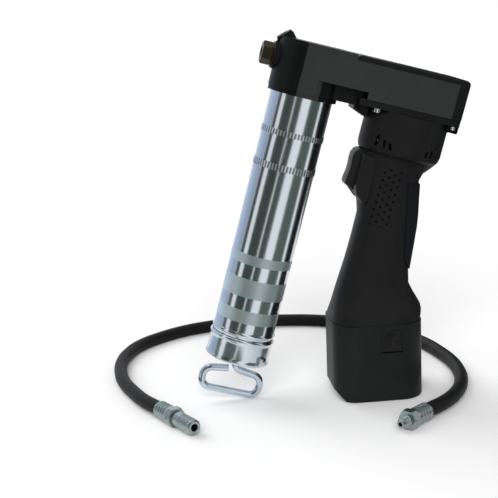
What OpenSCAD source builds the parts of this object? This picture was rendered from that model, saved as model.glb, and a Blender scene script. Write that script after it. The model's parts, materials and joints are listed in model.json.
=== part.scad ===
// Cordless grease applicator: a battery driven pump head on a grip, a grease
// barrel with a sprung follower, and its delivery hose lying detached beside it.
// Gun pieces are drawn in the gun's own frame: barrel axis on Z, X to the rear.

/* [Stance] */
// Lean of barrel and head from upright, degrees
tilt = 16; // [13:0.5:19]

/* [Head casting] */
// Depth of the head from side to side
head_d = 64; // [62:1:72]
// Height of the head over the barrel
head_h = 44; // [43:1:50]
// Reach of the head behind the drum of the handle
head_over = 2; // [0:0.5:8]
// Wall of the gear chamber
case_wall = 5; // [4:0.5:6]
// Height of the gear chamber's underside over the barrel mouth
belly_z = 8; // [7:0.5:9]
// Barrel axis to the front edge of the gear cover
cover_start = 35; // [34:1:38]
// Thickness of the gear cover on top
cover_t = 5; // [4:0.5:6]
// Thickness of the gear cover at the rear
cover_rear_t = 9; // [8:0.5:10]

/* [Outlet] */
// Height of the pump axis over the barrel mouth
pump_z = 26; // [25.5:0.5:27]
// Outlet hexagon across flats
hex_af = 18; // [16:1:20]
// Outlet hexagon length
hex_l = 9.5; // [8:0.5:14]
// Outlet thread, tapped radius
outlet_r = 4.46; // [4:0.02:5]
// Outlet thread depth
outlet_l = 10.5; // [9:0.5:12]

/* [Pump] */
// Pump plunger diameter
plunger_d = 10; // [8:0.5:11]
// Pump stroke, twice the throw of the eccentric
stroke = 8; // [6:0.5:9]

/* [Gears] */
// Gear module
gear_m = 1; // [0.96:0.01:1.02]
// Face width of the upper gears
upper_face = 6; // [4:0.5:6]
// Face width of the lower gears
lower_face = 5; // [4:0.5:5]

/* [Barrel] */
// Barrel tube outside diameter
tube_od = 57; // [54:0.5:58]
// Barrel tube wall
tube_wall = 1.6; // [1.2:0.1:2.5]
// Barrel tube showing between the head and the end cap
tube_l = 230; // [200:1:260]
// Depth of the barrel thread in the head and in the cap
thread_l = 12; // [10:0.5:12.5]
// End cap outside diameter
cap_od = 60.5; // [60:0.5:66]
// End cap length
cap_h = 25; // [20:0.5:32]

/* [Plunger rod] */
// Rod and loop wire diameter
wire_d = 7; // [5:0.25:7.5]
// Loop width over the wire
loop_w = 62; // [54:1:70]
// Loop height below the end cap
loop_drop = 37; // [34:1:44]

/* [Motor] */
// Barrel axis to motor axis
motor_x = 99.5; // [98:0.5:101]
// Motor can diameter
motor_d = 36; // [30:1:38]
// Motor can length
motor_l = 56; // [50:1:58]

/* [Handle] */
// Drum round the motor, outside diameter
drum_d = 77; // [74:1:80]
// Handle shell wall
shell_wall = 3; // [2:0.25:3.5]
// Half depth of the grip
grip_half_d = 23; // [21:0.5:26]
// Trigger width
trigger_w = 22; // [16:1:24]
// Trigger travel
trigger_travel = 6; // [4:0.5:6]
// Thickness of the soft backstrap
strap_t = 1.4; // [1:0.1:2]

/* [Battery] */
// Battery width, front to rear
batt_w = 84; // [80:1:90]
// Battery depth, side to side
batt_d = 76; // [74:1:84]
// Battery height up to the seam
batt_h = 73; // [68:1:80]
// Battery case wall
batt_wall = 2.5; // [2:0.25:3]
// Cell diameter
cell_d = 18; // [16:0.5:18]
// Cell length
cell_l = 50; // [44:1:51]
// Height of the battery's stem inside the grip
stem_h = 50; // [30:1:55]
// Release button width
button_w = 19; // [14:0.5:22]
// Release button height
button_h = 20; // [14:0.5:21]
// Release button travel
button_travel = 3; // [2:0.25:3]

/* [Hose] */
// Hose outside diameter
hose_d = 13; // [10:0.5:14]
// Crimped ferrule diameter
ferrule_d = 16; // [15:0.5:18]
// Hose hexagon across flats
hose_hex_af = 17; // [15:0.5:19]

/* [Fits] */
// Running clearance on a radius
run_gap = 0.05; // [0.02:0.01:0.08]
// Free clearance between pieces
free_gap = 0.3; // [0.2:0.05:0.5]

/* [Hidden] */
$fn = 64;

head_r = head_d / 2;
deck_z = head_h - cover_t;
head_rear = motor_x + drum_d / 2 + head_over;
case_rear = head_rear - cover_rear_t;
chamber_half = head_r - case_wall;
floor_t = 4;
floor_top = belly_z + floor_t;
wall_x = 29;
cover_seat_z = head_h - 2.6;
collar_drop = 4;
collar_r = tube_od / 2 + 3;
belly_x = 46;
cover_screw_in = 5.5;
cover_screw_r = 1.5;
cover_head_r = 2.7;
cover_head_h = 2.3;
screw_boss_r = 5;
notch = [6, 52, 14, 1.2];

// Gear train: tooth counts and centres, all on the head's middle plane
pinion_t = 12;
idler_t = 38;
idler_pinion_t = 14;
output_t = 36;
idler_x = motor_x - gear_m * (pinion_t + idler_t) / 2;
output_x = idler_x - gear_m * (idler_pinion_t + output_t) / 2;
lower_z = floor_top + 0.6;
upper_z = deck_z - 1 - upper_face;
throw = stroke / 2;
ecc_r = 9.5;
ring_r = 12;
ring_h = 8.6;
ecc_x = output_x + throw;
pressure_angle = 25;
addendum = 0.8;
dedendum = 1.05;
backlash = 0.25;
shaft_r = 5;
journal_r = 4;
pin_r = 3;
motor_shaft_r = 2.5;

// Outlet valve, measured from the barrel axis towards the front
boss_x = -(head_r + 2);
boss_r = 12.5;
washer_t = 1.5;
hex_x = boss_x - washer_t;
outlet_x = hex_x - hex_l;
shank_r = 7;
shank_in = -20;
chamber_r = 3.6;
seat_r = 2;
seat_x = shank_in - 4;
chamber_x = outlet_x + outlet_l;
ball_r = 2.75;
ball_x = seat_x - sqrt(ball_r * ball_r - seat_r * seat_r) - free_gap;
stop_t = 0.8;

// Relief plug in its boss at the upper front corner
relief_at = [-27.5, 44.4];
relief_lean = -41;
relief_r = 8.2;
relief_bore = 4;
relief_depth = 14;
plug_head = 2.5;

// Pump plunger at the front of its stroke, with the crank turned to the back
foot_t = 3;
foot_r = 7.5;
foot_gap = 1.2;
foot_x = output_x - throw - ring_r - foot_gap;
pocket_x = 14;
pocket_r = 8.8;
plunger_front = -18;
bore_front = plunger_front - 1;

// Barrel, cap and follower
tube_r = tube_od / 2;
tube_in = tube_r - tube_wall;
cap_top = -tube_l;
cap_bottom = cap_top - cap_h;
cap_floor_t = 3;
tube_bottom = cap_top - thread_l;
loop_bottom = cap_bottom - loop_drop;
rod_r = wire_d / 2;
follower_top = -3;
seal_h = 12;
plate_t = 3;
stop_h = 3;
rod_stop_r = 7;
bush_r = 7;

// Where the gun frame stands: the loop's low bend and the battery share the floor
bend_r = 12;
loop_reach = loop_w / 2 - bend_r;
head_z = loop_reach * sin(tilt) - (loop_bottom + bend_r) * cos(tilt) + bend_r;
grip_foot_x = 116.5;
seam_z = batt_h;
head_x = -(grip_foot_x - (head_z - seam_z) * sin(tilt)) / cos(tilt);
foot_z = -head_x * sin(tilt) - (head_z - seam_z) * cos(tilt);

// Flange and handle
flange_top = belly_z;
flange_bottom = 2;
flange_x = [44, head_rear];
flange_half = 31;
rear_screw_x = case_rear + cover_rear_t / 2;
screw_y = 26.5;
screw_r = 2;
screw_in = 7;
screw_head_r = 3.5;
screw_head_h = 3.5;
drum_r = drum_d / 2;
screw_clear = 2;
front_screw_x = motor_x - sqrt(pow(drum_r + screw_head_r + screw_clear, 2) - pow(screw_y, 2));
slot_top = -36;
slot_bottom = -76;
trigger_face = 58;
trigger_back = 70;
switch_x = trigger_back + trigger_travel + 1.5;
switch_w = 26;
switch_z = [-82, -56];
switch_half = 11;
stem_w = 34;
stem_d = 30;
socket_z = stem_h + 3;
shelf_t = 3;
block_h = 8;

// Battery details
plan_r = 22;
lid_t = 6;
cell_cols = 4;
cell_rows = 3;
button_x = 10;
button_z = batt_h - 15;
button_t = 4.5;
pocket_wall = 1.2;
chamfer = 10;
cell_gap = 0.2;
cell_lift = 0.5;

// Hose route on the floor, from the nipple end to the coupler end
hose_z = hose_d / 2;
ferrule_l = 22;
hose_hex_l = 8;
coupler_r = 7;
coupler_l = 30;
hose_path = [[28, -91], [51, -70], [69, -45], [81, -16], [87, 14], [88, 45], [84, 76],
    [77, 106], [65, 134], [49, 161], [29, 185], [5, 204], [-22, 219], [-51, 227],
    [-82, 231], [-113, 229], [-143, 223], [-172, 211], [-197, 193], [-218, 171], [-232, 143],
    [-239, 113], [-240, 82], [-237, 52], [-229, 21], [-219, -8], [-205, -35]];

module in_gun() {
    translate([head_x, 0, head_z]) rotate([0, tilt, 0]) children();
}

module along_x(x, z = 0) {
    translate([x, 0, z]) rotate([0, 90, 0]) children();
}

module ring(outer, inner, h) {
    difference() {
        cylinder(r = outer, h = h);
        translate([0, 0, -1]) cylinder(r = inner, h = h + 2);
    }
}

module round_rect(w, d, r) {
    square([w - 2 * r, d], center = true);
    square([w, d - 2 * r], center = true);
    for (sx = [-1, 1], sy = [-1, 1])
        translate([sx * (w / 2 - r), sy * (d / 2 - r)]) circle(r = r);
}

module side_block(x, half, z) {
    translate([x[0], -half, z[0]]) cube([x[1] - x[0], 2 * half, z[1] - z[0]]);
}

// Involute gear outline with one tooth centred on the phase angle
function roll_point(base, a) = base * [cos(a) + a * PI / 180 * sin(a),
    sin(a) - a * PI / 180 * cos(a)];
function turn(p, a) = [p[0] * cos(a) - p[1] * sin(a), p[0] * sin(a) + p[1] * cos(a)];
function roll_angle(base, r) = sqrt(max(0, r * r / (base * base) - 1)) * 180 / PI;

module gear_outline(teeth, phase) {
    pitch = gear_m * teeth / 2;
    base = pitch * cos(pressure_angle);
    root = pitch - dedendum * gear_m;
    tip = pitch + addendum * gear_m;
    roll_pitch = tan(pressure_angle) * 180 / PI - pressure_angle;
    half = 90 / teeth - backlash / 2 / pitch * 180 / PI + roll_pitch;
    first = roll_angle(base, max(base, root));
    last = roll_angle(base, tip);
    flank = [for (i = [0:4]) turn(roll_point(base, first + (last - first) * i / 4), -half)];
    tooth = concat([turn([root, 0], -half)], flank,
        [for (i = [4:-1:0]) [flank[i][0], -flank[i][1]]], [turn([root, 0], half)]);
    polygon([for (n = [0:teeth - 1], p = tooth) turn(p, phase + n * 360 / teeth)]);
}

// Closed coil spring along Z
module coil(mean_r, wire, h, turns, sides = 6, steps = 12) {
    rings = turns * steps;
    rise = h - wire;
    points = [for (i = [0:rings], k = [0:sides - 1])
        let (a = 360 * i / steps, b = 360 * k / sides, r = mean_r + wire / 2 * cos(b))
        [r * cos(a), r * sin(a), wire / 2 + rise * i / rings + wire / 2 * sin(b)]];
    sweep(points, sides, rings + 1);
}

module sweep(points, sides, rings) {
    walls = [for (i = [0:rings - 2], k = [0:sides - 1])
        [i * sides + k, i * sides + (k + 1) % sides,
            (i + 1) * sides + (k + 1) % sides, (i + 1) * sides + k]];
    ends = [[for (k = [sides - 1:-1:0]) k], [for (k = [0:sides - 1]) (rings - 1) * sides + k]];
    polyhedron(points = points, faces = concat(ends, walls));
}

// Handle sections: height, front, rear, half depth, squareness, share of the seam's lean
drum_front = motor_x - drum_r;
drum_rear = motor_x + drum_r;
grip_bend_z = -84;
// Height between the grip's bend and the battery seam, by its share
function low(share) = grip_bend_z + share * (foot_z - grip_bend_z);
sections = [[flange_bottom, drum_front, drum_rear, drum_r, 2, 0],
    [-29, drum_front, drum_rear, drum_r, 2, 0],
    [-34, drum_front + 0.8, drum_rear - 1, drum_r - 1, 2, 0],
    [-38, drum_front + 2.2, drum_rear - 3, drum_r - 4, 2.1, 0],
    [-42, 64, drum_rear - 7, drum_r - 7.5, 2.3, 0],
    [-47, 64, 126, grip_half_d + 5, 2.5, 0],
    [-54, 64, 124, grip_half_d + 3, 2.6, 0],
    [-68, 64.4, 127, grip_half_d + 1.5, 2.6, 0],
    [-76, 65.5, 128.8, grip_half_d + 1, 2.6, 0],
    [grip_bend_z, 73.5, 130.5, grip_half_d + 0.5, 2.6, 0],
    [low(0.115), 77.2, 132.5, grip_half_d, 2.6, 0],
    [low(0.325), 77.4, 134.6, grip_half_d, 2.6, 0.1],
    [low(0.516), 77, 136.2, grip_half_d + 0.5, 2.6, 0.3],
    [low(0.669), 76, 140, grip_half_d + 2.5, 2.7, 0.55],
    [low(0.784), 75.4, 148, grip_half_d + 7.5, 2.9, 0.8],
    [low(0.889), 76, 155.6, batt_d / 2 - 2, 3.2, 1],
    [foot_z + free_gap, grip_foot_x - batt_w / 2 * cos(tilt), grip_foot_x + batt_w / 2 * cos(tilt),
        batt_d / 2, 3.4, 1]];
ring_sides = 40;
function signed_power(v, p) = sign(v) * pow(abs(v), p);
function section_middle(s) = (s[1] + s[2]) / 2;
function section_outline(s, grow) = let (a = (s[2] - s[1]) / 2 + grow, b = s[3] + grow)
    [for (k = [0:ring_sides - 1]) let (t = 360 * k / ring_sides)
        [section_middle(s) + a * signed_power(cos(t), 2 / s[4]), b * signed_power(sin(t), 2 / s[4])]];

// Thin slice of one handle section
module section_slice(s, grow, lift) {
    lean = tan(tilt) * s[5];
    slice_t = 0.02;
    multmatrix([[1, 0, 0, 0], [0, 1, 0, 0], [lean, 0, 1, s[0] - lean * section_middle(s) + lift]])
        linear_extrude(slice_t) polygon(section_outline(s, grow));
}

// Skin over a run of handle sections, grown or shrunk evenly
module handle_loft(grow, first, last, stretch = 0) {
    for (i = [first:last - 1]) hull() {
        section_slice(sections[i], grow, i == first ? stretch : 0);
        section_slice(sections[i + 1], grow, i + 1 == last ? -stretch : 0);
    }
}

last_section = len(sections) - 1;

// Head
module head_plan(rear) {
    circle(r = head_r);
    translate([0, -head_r]) square([rear, head_d]);
}

module relief_axis() {
    translate([relief_at[0], 0, relief_at[1]]) rotate([0, relief_lean, 0]) children();
}

module flange_screw_pair(x) {
    for (sy = [-1, 1]) translate([x, sy * screw_y, 0]) children();
}

module flange_screw_places() {
    flange_screw_pair(front_screw_x) children();
    flange_screw_pair(rear_screw_x) children();
}

module cover_screw_places() {
    for (x = [cover_start + 6, (cover_start + case_rear) / 2, case_rear - 4], sy = [-1, 1])
        translate([x, sy * (head_r - cover_screw_in), 0]) children();
}

module gear_case() color("#2b2c2c") in_gun() difference() {
    union() {
        linear_extrude(belly_z) head_plan(belly_x);
        translate([0, 0, belly_z]) linear_extrude(head_h - belly_z) head_plan(cover_start);
        side_block([cover_start, case_rear], head_r, [belly_z, deck_z]);
        translate([0, 0, -collar_drop]) cylinder(r = collar_r, h = collar_drop);
        along_x(boss_x, pump_z) cylinder(r = boss_r, h = head_r - 8);
        relief_axis() translate([0, 0, -relief_depth]) cylinder(r = relief_r, h = relief_depth);
    }
    translate([0, 0, -collar_drop - 1])
        cylinder(r = tube_r + run_gap * 4, h = thread_l + collar_drop + 1);
    translate([-8, 0, 0]) cylinder(r = plunger_d / 2, h = pump_z);
    along_x(bore_front, pump_z) cylinder(r = plunger_d / 2 + run_gap, h = wall_x - bore_front + 1);
    along_x(pocket_x, pump_z) cylinder(r = pocket_r, h = wall_x - pocket_x + 1);
    along_x(boss_x - 1, pump_z) cylinder(r = shank_r + run_gap, h = shank_in - boss_x + 1);
    along_x(shank_in - 1, pump_z) cylinder(r = seat_r, h = bore_front - shank_in + 2);
    relief_axis() translate([0, 0, -relief_depth + 3])
        cylinder(r = relief_bore + run_gap, h = relief_depth);
    relief_axis() cylinder(r = relief_r + 1.5, h = relief_depth);
    difference() {
        union() {
            side_block([wall_x, cover_start + 0.01], chamber_half, [floor_top, deck_z]);
            side_block([cover_start, case_rear + 1], chamber_half, [floor_top, deck_z + 1]);
        }
        cover_screw_places() translate([0, 0, belly_z]) cylinder(r = 3.5, h = head_h);
        flange_screw_pair(front_screw_x) cylinder(r = screw_boss_r, h = floor_top + 6);
    }
    for (sy = [-1, 1]) translate([notch[0], sy * head_r - notch[3], -1])
        cube([notch[1] - notch[0], notch[3] * 2, notch[2] + 1]);
    translate([motor_x, 0, belly_z - 1]) cylinder(r = journal_r, h = floor_t + 2);
    translate([idler_x, 0, belly_z + 1]) cylinder(r = pin_r + run_gap, h = floor_t);
    translate([output_x, 0, belly_z + 1]) cylinder(r = shaft_r + 2 + run_gap, h = floor_t);
    flange_screw_pair(front_screw_x) translate([0, 0, belly_z - 1])
        cylinder(r = screw_r + run_gap, h = screw_in + 2);
    cover_screw_places() translate([0, 0, deck_z - 10])
        cylinder(r = cover_screw_r + run_gap, h = 11, $fn = 32);
}

module cover_section() {
    translate([0, deck_z]) difference() {
        translate([-head_r, 0]) square([head_d, cover_t]);
        for (s = [-1, 1]) translate([s * head_r, cover_t]) difference() {
            square(2 * (cover_t - 1), center = true);
            translate([-s * (cover_t - 1), -(cover_t - 1)]) circle(r = cover_t - 1);
        }
    }
}

module gear_cover() color("#1d1e1e") in_gun() difference() {
    union() {
        along_x(cover_start) rotate([0, 0, 90]) linear_extrude(head_rear - cover_start)
            mirror([1, 0]) cover_section();
        side_block([case_rear, head_rear], head_r, [belly_z, deck_z]);
        for (p = [[idler_x, 6], [output_x, 8]])
            translate([p[0], 0, deck_z - 0.6]) cylinder(r = p[1], h = 1);
    }
    translate([head_rear, 0, head_h]) rotate([90, 0, 0]) difference() {
        cube([cover_t * 2, cover_t * 2, head_d * 2], center = true);
        translate([-cover_t, -cover_t, 0]) cylinder(r = cover_t, h = head_d * 3, center = true);
    }
    translate([idler_x, 0, deck_z - 1]) cylinder(r = pin_r + run_gap, h = cover_t - 1);
    translate([output_x, 0, deck_z - 1]) cylinder(r = journal_r + 2 + run_gap, h = cover_t - 1);
    cover_screw_places() translate([0, 0, deck_z - 1])
        cylinder(r = cover_screw_r + run_gap * 3, h = cover_t + 2, $fn = 32);
    cover_screw_places() translate([0, 0, cover_seat_z])
        cylinder(r = cover_head_r + free_gap, h = cover_t, $fn = 32);
    flange_screw_pair(rear_screw_x) translate([0, 0, belly_z - 1])
        cylinder(r = screw_r + run_gap, h = screw_in + 2);
}

module cover_screws() color("#3a3a3a") in_gun() cover_screw_places() difference() {
    union() {
        translate([0, 0, deck_z - 9])
            cylinder(r = cover_screw_r, h = cover_seat_z - deck_z + 10, $fn = 32);
        translate([0, 0, cover_seat_z]) cylinder(r = cover_head_r, h = cover_head_h, $fn = 32);
    }
    translate([0, 0, cover_seat_z + 1]) cylinder(r = 1.4, h = 2, $fn = 6);
}

// Outlet valve
module outlet_fitting() color("#2a2826") in_gun() difference() {
    union() {
        along_x(outlet_x, pump_z) cylinder(r = hex_af / sqrt(3), h = hex_l, $fn = 6);
        along_x(hex_x - 0.01, pump_z) cylinder(r = shank_r, h = shank_in - hex_x + 0.01);
    }
    along_x(outlet_x - 1, pump_z) cylinder(r = outlet_r, h = outlet_l + 1);
    along_x(chamber_x - 1, pump_z) cylinder(r = chamber_r, h = seat_x - chamber_x + 1);
    along_x(seat_x - 1, pump_z) cylinder(r = seat_r, h = shank_in - seat_x + 2);
}

module outlet_washer() color("#8a7040") in_gun()
    along_x(hex_x, pump_z) ring(boss_r - 1, shank_r + run_gap * 2, washer_t);

module check_ball() color("silver") in_gun()
    translate([ball_x, 0, pump_z]) sphere(r = ball_r);

module valve_stop() color("silver") in_gun()
    along_x(chamber_x, pump_z) ring(chamber_r, seat_r, stop_t);

module valve_spring() color("silver") in_gun() {
    end = chamber_x + stop_t;
    along_x(end, pump_z) coil(2.3, 0.6, ball_x - ball_r * 0.6 - end, 5);
}

module relief_plug() color("#1f1f1f") in_gun() relief_axis() difference() {
    union() {
        translate([0, 0, 4 - relief_depth]) cylinder(r = relief_bore, h = relief_depth - 4);
        cylinder(r = relief_r - 0.7, h = plug_head);
    }
    translate([0, 0, plug_head - 2]) cylinder(r = 3.2, h = 3, $fn = 6);
}

// Pump
module pump_plunger() color("silver") in_gun() {
    along_x(plunger_front, pump_z) cylinder(r = plunger_d / 2, h = foot_x - plunger_front);
    along_x(foot_x - foot_t, pump_z) cylinder(r = foot_r, h = foot_t);
}

module plunger_spring() color("silver") in_gun()
    along_x(pocket_x, pump_z) coil(6.7, 1.3, foot_x - foot_t - pocket_x, 6);

module crank_shaft() color("silver") in_gun() {
    translate([output_x, 0, belly_z + 1.2]) cylinder(r = shaft_r, h = pump_z - belly_z);
    translate([ecc_x, 0, pump_z - ring_h / 2]) cylinder(r = ecc_r, h = ring_h);
    translate([output_x, 0, pump_z]) cylinder(r = journal_r, h = head_h - 2.2 - pump_z);
}

module eccentric_ring() color("gainsboro") in_gun()
    translate([ecc_x, 0, pump_z - ring_h / 2 + 0.1]) ring(ring_r, ecc_r + run_gap, ring_h - 0.2);

module output_gear() color("slategray") in_gun() translate([output_x, 0, lower_z])
    difference() {
        linear_extrude(lower_face) gear_outline(output_t, 0);
        translate([0, 0, -1]) cylinder(r = shaft_r + run_gap, h = lower_face + 2);
    }

module idler_gear() color("slategray") in_gun() translate([idler_x, 0, 0]) difference() {
    union() {
        translate([0, 0, lower_z]) linear_extrude(lower_face)
            gear_outline(idler_pinion_t, 180 - 180 / idler_pinion_t);
        translate([0, 0, lower_z + lower_face])
            cylinder(r = gear_m * 5.5, h = upper_z - lower_z - lower_face);
        translate([0, 0, upper_z]) linear_extrude(upper_face) gear_outline(idler_t, 0);
    }
    translate([0, 0, 0]) cylinder(r = pin_r + run_gap, h = head_h);
}

module idler_pin() color("silver") in_gun()
    translate([idler_x, 0, belly_z + 1.2]) cylinder(r = pin_r, h = head_h - 2.2 - belly_z - 1.2);

module lower_bush() color("#b08d57") in_gun()
    translate([output_x, 0, belly_z + 1]) ring(shaft_r + 2, shaft_r + run_gap, floor_t - 1);

module upper_bush() color("#b08d57") in_gun()
    translate([output_x, 0, deck_z - 0.6]) ring(journal_r + 2, journal_r + run_gap, cover_t - 1.4);

// Motor
motor_top = flange_bottom;
motor_end = motor_top - motor_l;
end_t = 3.5;

module motor_can() color("#6f7477") in_gun() translate([motor_x, 0, 0]) difference() {
    union() {
        translate([0, 0, motor_end]) cylinder(r = motor_d / 2, h = motor_l);
        translate([0, 0, motor_top]) cylinder(r = 6, h = 4);
    }
    translate([0, 0, motor_end + end_t]) cylinder(r = motor_d / 2 - 1.5, h = motor_l - 2 * end_t);
    translate([0, 0, motor_end - 1]) cylinder(r = motor_shaft_r + run_gap, h = motor_l + 6);
}

magnet_in = 12;

module motor_magnets() color("#3b3b40") in_gun()
    translate([motor_x, 0, motor_end + magnet_in])
        ring(motor_d / 2 - 1.5, motor_d / 2 - 4, motor_l - 2 * magnet_in);

module motor_rotor() color("#b87333") in_gun() translate([motor_x, 0, 0]) {
    translate([0, 0, motor_end + 0.5])
        cylinder(r = motor_shaft_r, h = upper_z + upper_face - motor_end - 0.5);
    translate([0, 0, motor_end + 13]) cylinder(r = motor_d / 2 - 5, h = motor_l - 26);
    translate([0, 0, motor_end + end_t + 1]) cylinder(r = 6, h = 8);
}

module motor_pinion() color("silver") in_gun() translate([motor_x, 0, upper_z]) difference() {
    linear_extrude(upper_face) gear_outline(pinion_t, 180 - 180 / pinion_t);
    translate([0, 0, -1]) cylinder(r = motor_shaft_r + run_gap, h = upper_face + 2);
}

// Barrel
module barrel_seal() color("#141414") in_gun()
    translate([0, 0, thread_l - 2]) ring(tube_r - 0.1, tube_in - 2, 2);

module barrel_tube() color("#c9d2d6") in_gun() difference() {
    union() {
        translate([0, 0, tube_bottom]) cylinder(r = tube_r, h = thread_l - 2 - tube_bottom);
        for (b = [[-38.5, 5], [-69, 6]])
            translate([0, 0, b[0] - b[1] / 2]) cylinder(r = tube_r + 0.3, h = b[1]);
        translate([0, 0, cap_top + 4])
            rotate_extrude() translate([tube_r - 0.6, 0]) circle(r = 1.8, $fn = 32);
    }
    translate([0, 0, tube_bottom - 1]) cylinder(r = tube_in, h = thread_l - tube_bottom + 1);
}

module end_cap() color("#c9d2d6") in_gun() difference() {
    union() {
        translate([0, 0, cap_bottom]) cylinder(r = cap_od / 2 - 0.5, h = cap_h - free_gap);
        for (z = [cap_bottom + 1.6, cap_top - 2.2]) translate([0, 0, z])
            rotate_extrude() translate([cap_od / 2 - 1.4, 0]) circle(r = 1.4, $fn = 32);
        rotate([0, 0, 40]) translate([-4, -cap_od / 2 - 2.5, cap_bottom + 2]) cube([8, 5, 9]);
    }
    translate([0, 0, tube_bottom]) cylinder(r = tube_r + run_gap * 3, h = thread_l + 1);
    translate([0, 0, cap_bottom + cap_floor_t])
        cylinder(r = tube_in, h = cap_h - cap_floor_t - thread_l + 0.01);
    translate([0, 0, cap_bottom - 1]) cylinder(r = bush_r, h = cap_floor_t + 2);
}

module rod_bush() color("#222222") in_gun() translate([0, 0, cap_bottom])
    ring(bush_r, rod_r + run_gap, cap_floor_t + 2);

module follower_seal() color("#151515") in_gun() difference() {
    translate([0, 0, follower_top - seal_h]) cylinder(r = tube_in - free_gap, h = seal_h);
    translate([0, 0, follower_top - 4]) cylinder(r = tube_in - 5, h = 5);
    translate([0, 0, follower_top - seal_h - 1]) cylinder(r = rod_r + run_gap, h = seal_h + 2);
}

module follower_plate() color("silver") in_gun()
    translate([0, 0, follower_top - seal_h - plate_t])
        ring(tube_in - 2, rod_r + run_gap, plate_t);

module follower_spring() color("silver") in_gun() {
    low = cap_bottom + cap_floor_t;
    translate([0, 0, low]) coil(tube_in - 6, 2.4, follower_top - seal_h - plate_t - low, 15);
}

// Rod bent from one wire: up the middle, round the loop and back beside the rod
module wire_arc(centre, from_a, to_a, r) {
    translate([centre[0], 0, centre[1]]) rotate([90, 0, 0]) rotate([0, 0, from_a])
        rotate_extrude(angle = to_a - from_a) translate([r, 0]) circle(r = rod_r, $fn = 32);
}

module wire_line(a, b) {
    d = b - a;
    translate([a[0], 0, a[1]]) rotate([0, 90 - atan2(d[1], d[0]), 0])
        cylinder(r = rod_r, h = norm(d), $fn = 32);
}

module plunger_rod() color("#c3ccd2") in_gun() {
    arc = bend_r - rod_r;
    side = loop_w / 2 - rod_r;
    shoulder = cap_bottom - 12;
    low = loop_bottom + rod_r;
    throat = rod_r + 4.5;
    neck = shoulder + throat;
    translate([0, 0, neck]) cylinder(r = rod_r, h = follower_top - neck, $fn = 32);
    translate([0, 0, follower_top - 4]) cylinder(r = rod_stop_r, h = stop_h);
    wire_arc([throat, neck], 180, 270, throat);
    wire_line([throat, shoulder], [side - arc, shoulder]);
    for (s = [-1, 1]) {
        wire_arc([s * (side - arc), low + arc], s > 0 ? -90 : 180, s > 0 ? 0 : 270, arc);
        wire_line([s * side, low + arc], [s * side, shoulder - arc]);
        wire_arc([s * (side - arc), shoulder - arc], s > 0 ? 0 : 90, s > 0 ? 90 : 180, arc);
    }
    wire_line([-(side - arc), low], [side - arc, low]);
    wire_line([-(side - arc), shoulder], [-(wire_d + 1), shoulder]);
    translate([-(wire_d + 1), 0, shoulder]) sphere(r = rod_r);
}

// Flange
module gusset(points) {
    rotate([90, 0, 0]) linear_extrude(24, center = true) polygon(points);
}

module mounting_flange() color("#161616") in_gun() difference() {
    union() {
        side_block(flange_x, flange_half, [flange_bottom, flange_top]);
        gusset([[flange_x[0], flange_bottom + 1], [flange_x[0] + 1, -4],
            [drum_front - 1, -9], [drum_front - 1, flange_bottom + 1]]);
    }
    translate([motor_x, 0, flange_bottom - 1]) cylinder(r = 6 + run_gap * 2, h = 12);
    side_block([0, belly_x + free_gap], head_d, [flange_bottom - 4.5, flange_top + 1]);
    flange_screw_places() translate([0, 0, flange_bottom - 1])
        cylinder(r = screw_r + run_gap * 4, h = 12);
}

module flange_screws() color("#d5d8d8") in_gun() flange_screw_places() difference() {
    union() {
        translate([0, 0, flange_bottom - screw_head_h]) cylinder(r = screw_head_r, h = screw_head_h);
        translate([0, 0, flange_bottom - 0.01]) cylinder(r = screw_r, h = flange_top - flange_bottom + screw_in);
    }
    translate([0, 0, flange_bottom - screw_head_h - 1]) cylinder(r = 1.5, h = 2.6, $fn = 6);
}

// Handle
module handle_shell() difference() {
    union() {
        difference() {
            handle_loft(0, 0, last_section);
            handle_loft(-shell_wall, 0, last_section, 2);
        }
        intersection() {
            handle_loft(-shell_wall / 2, 0, last_section);
            union() {
                for (x = [switch_x + 3, switch_x + switch_w - 6])
                    side_block([x, x + 3], drum_r, [switch_z[0] + 1, switch_z[1] - 1]);
                socket_frame();
            }
        }
    }
    translate([trigger_face - 9, -trigger_w / 2 - free_gap, slot_bottom])
        cube([trigger_back - trigger_face + 9, trigger_w + 2 * free_gap, slot_top - slot_bottom]);
    side_block([switch_x - 0.1, switch_x + switch_w + 0.1], switch_half + 0.1,
        [switch_z[0] - 0.1, switch_z[1] + 0.1]);
}

// Shelf over the battery stem that carries the contact block
module socket_frame() {
    from_world() translate([0, 0, seam_z + socket_z])
        difference() {
            translate([-batt_w, -batt_d, 0]) cube([2 * batt_w, 2 * batt_d, shelf_t]);
            translate([0, 0, -1]) linear_extrude(6) square([stem_w - 8, stem_d - 8], center = true);
        }
}

module from_world() {
    rotate([0, -tilt, 0]) translate([-head_x, 0, -head_z]) children();
}

module handle_half(side) intersection() {
    handle_shell();
    translate([-tube_l, side > 0 ? 0 : -tube_l, -2 * tube_l]) cube([3 * tube_l, tube_l, 3 * tube_l]);
}

handle_screw_at = [[84, low(0.1), 14], [106, low(0.153), 14], [128, low(0.65), 18], [90, low(0.727), 18],
    [88, -30, 24]];
handle_screw_r = 3;

module handle_near_half() color("#1c1c1d") in_gun() handle_half(-1);

module handle_far_half() color("#1c1c1d") in_gun() difference() {
    handle_half(1);
    for (p = handle_screw_at) translate([p[0], 0, p[1]]) rotate([-90, 0, 0])
        cylinder(r = handle_screw_r + free_gap, h = drum_d, $fn = 32);
}

module handle_screws() color("#3a3a3a") in_gun() intersection() {
    handle_loft(-0.4, 0, last_section);
    for (p = handle_screw_at) translate([p[0], p[2], p[1]]) rotate([-90, 0, 0])
        cylinder(r = handle_screw_r, h = drum_d, $fn = 32);
}

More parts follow.
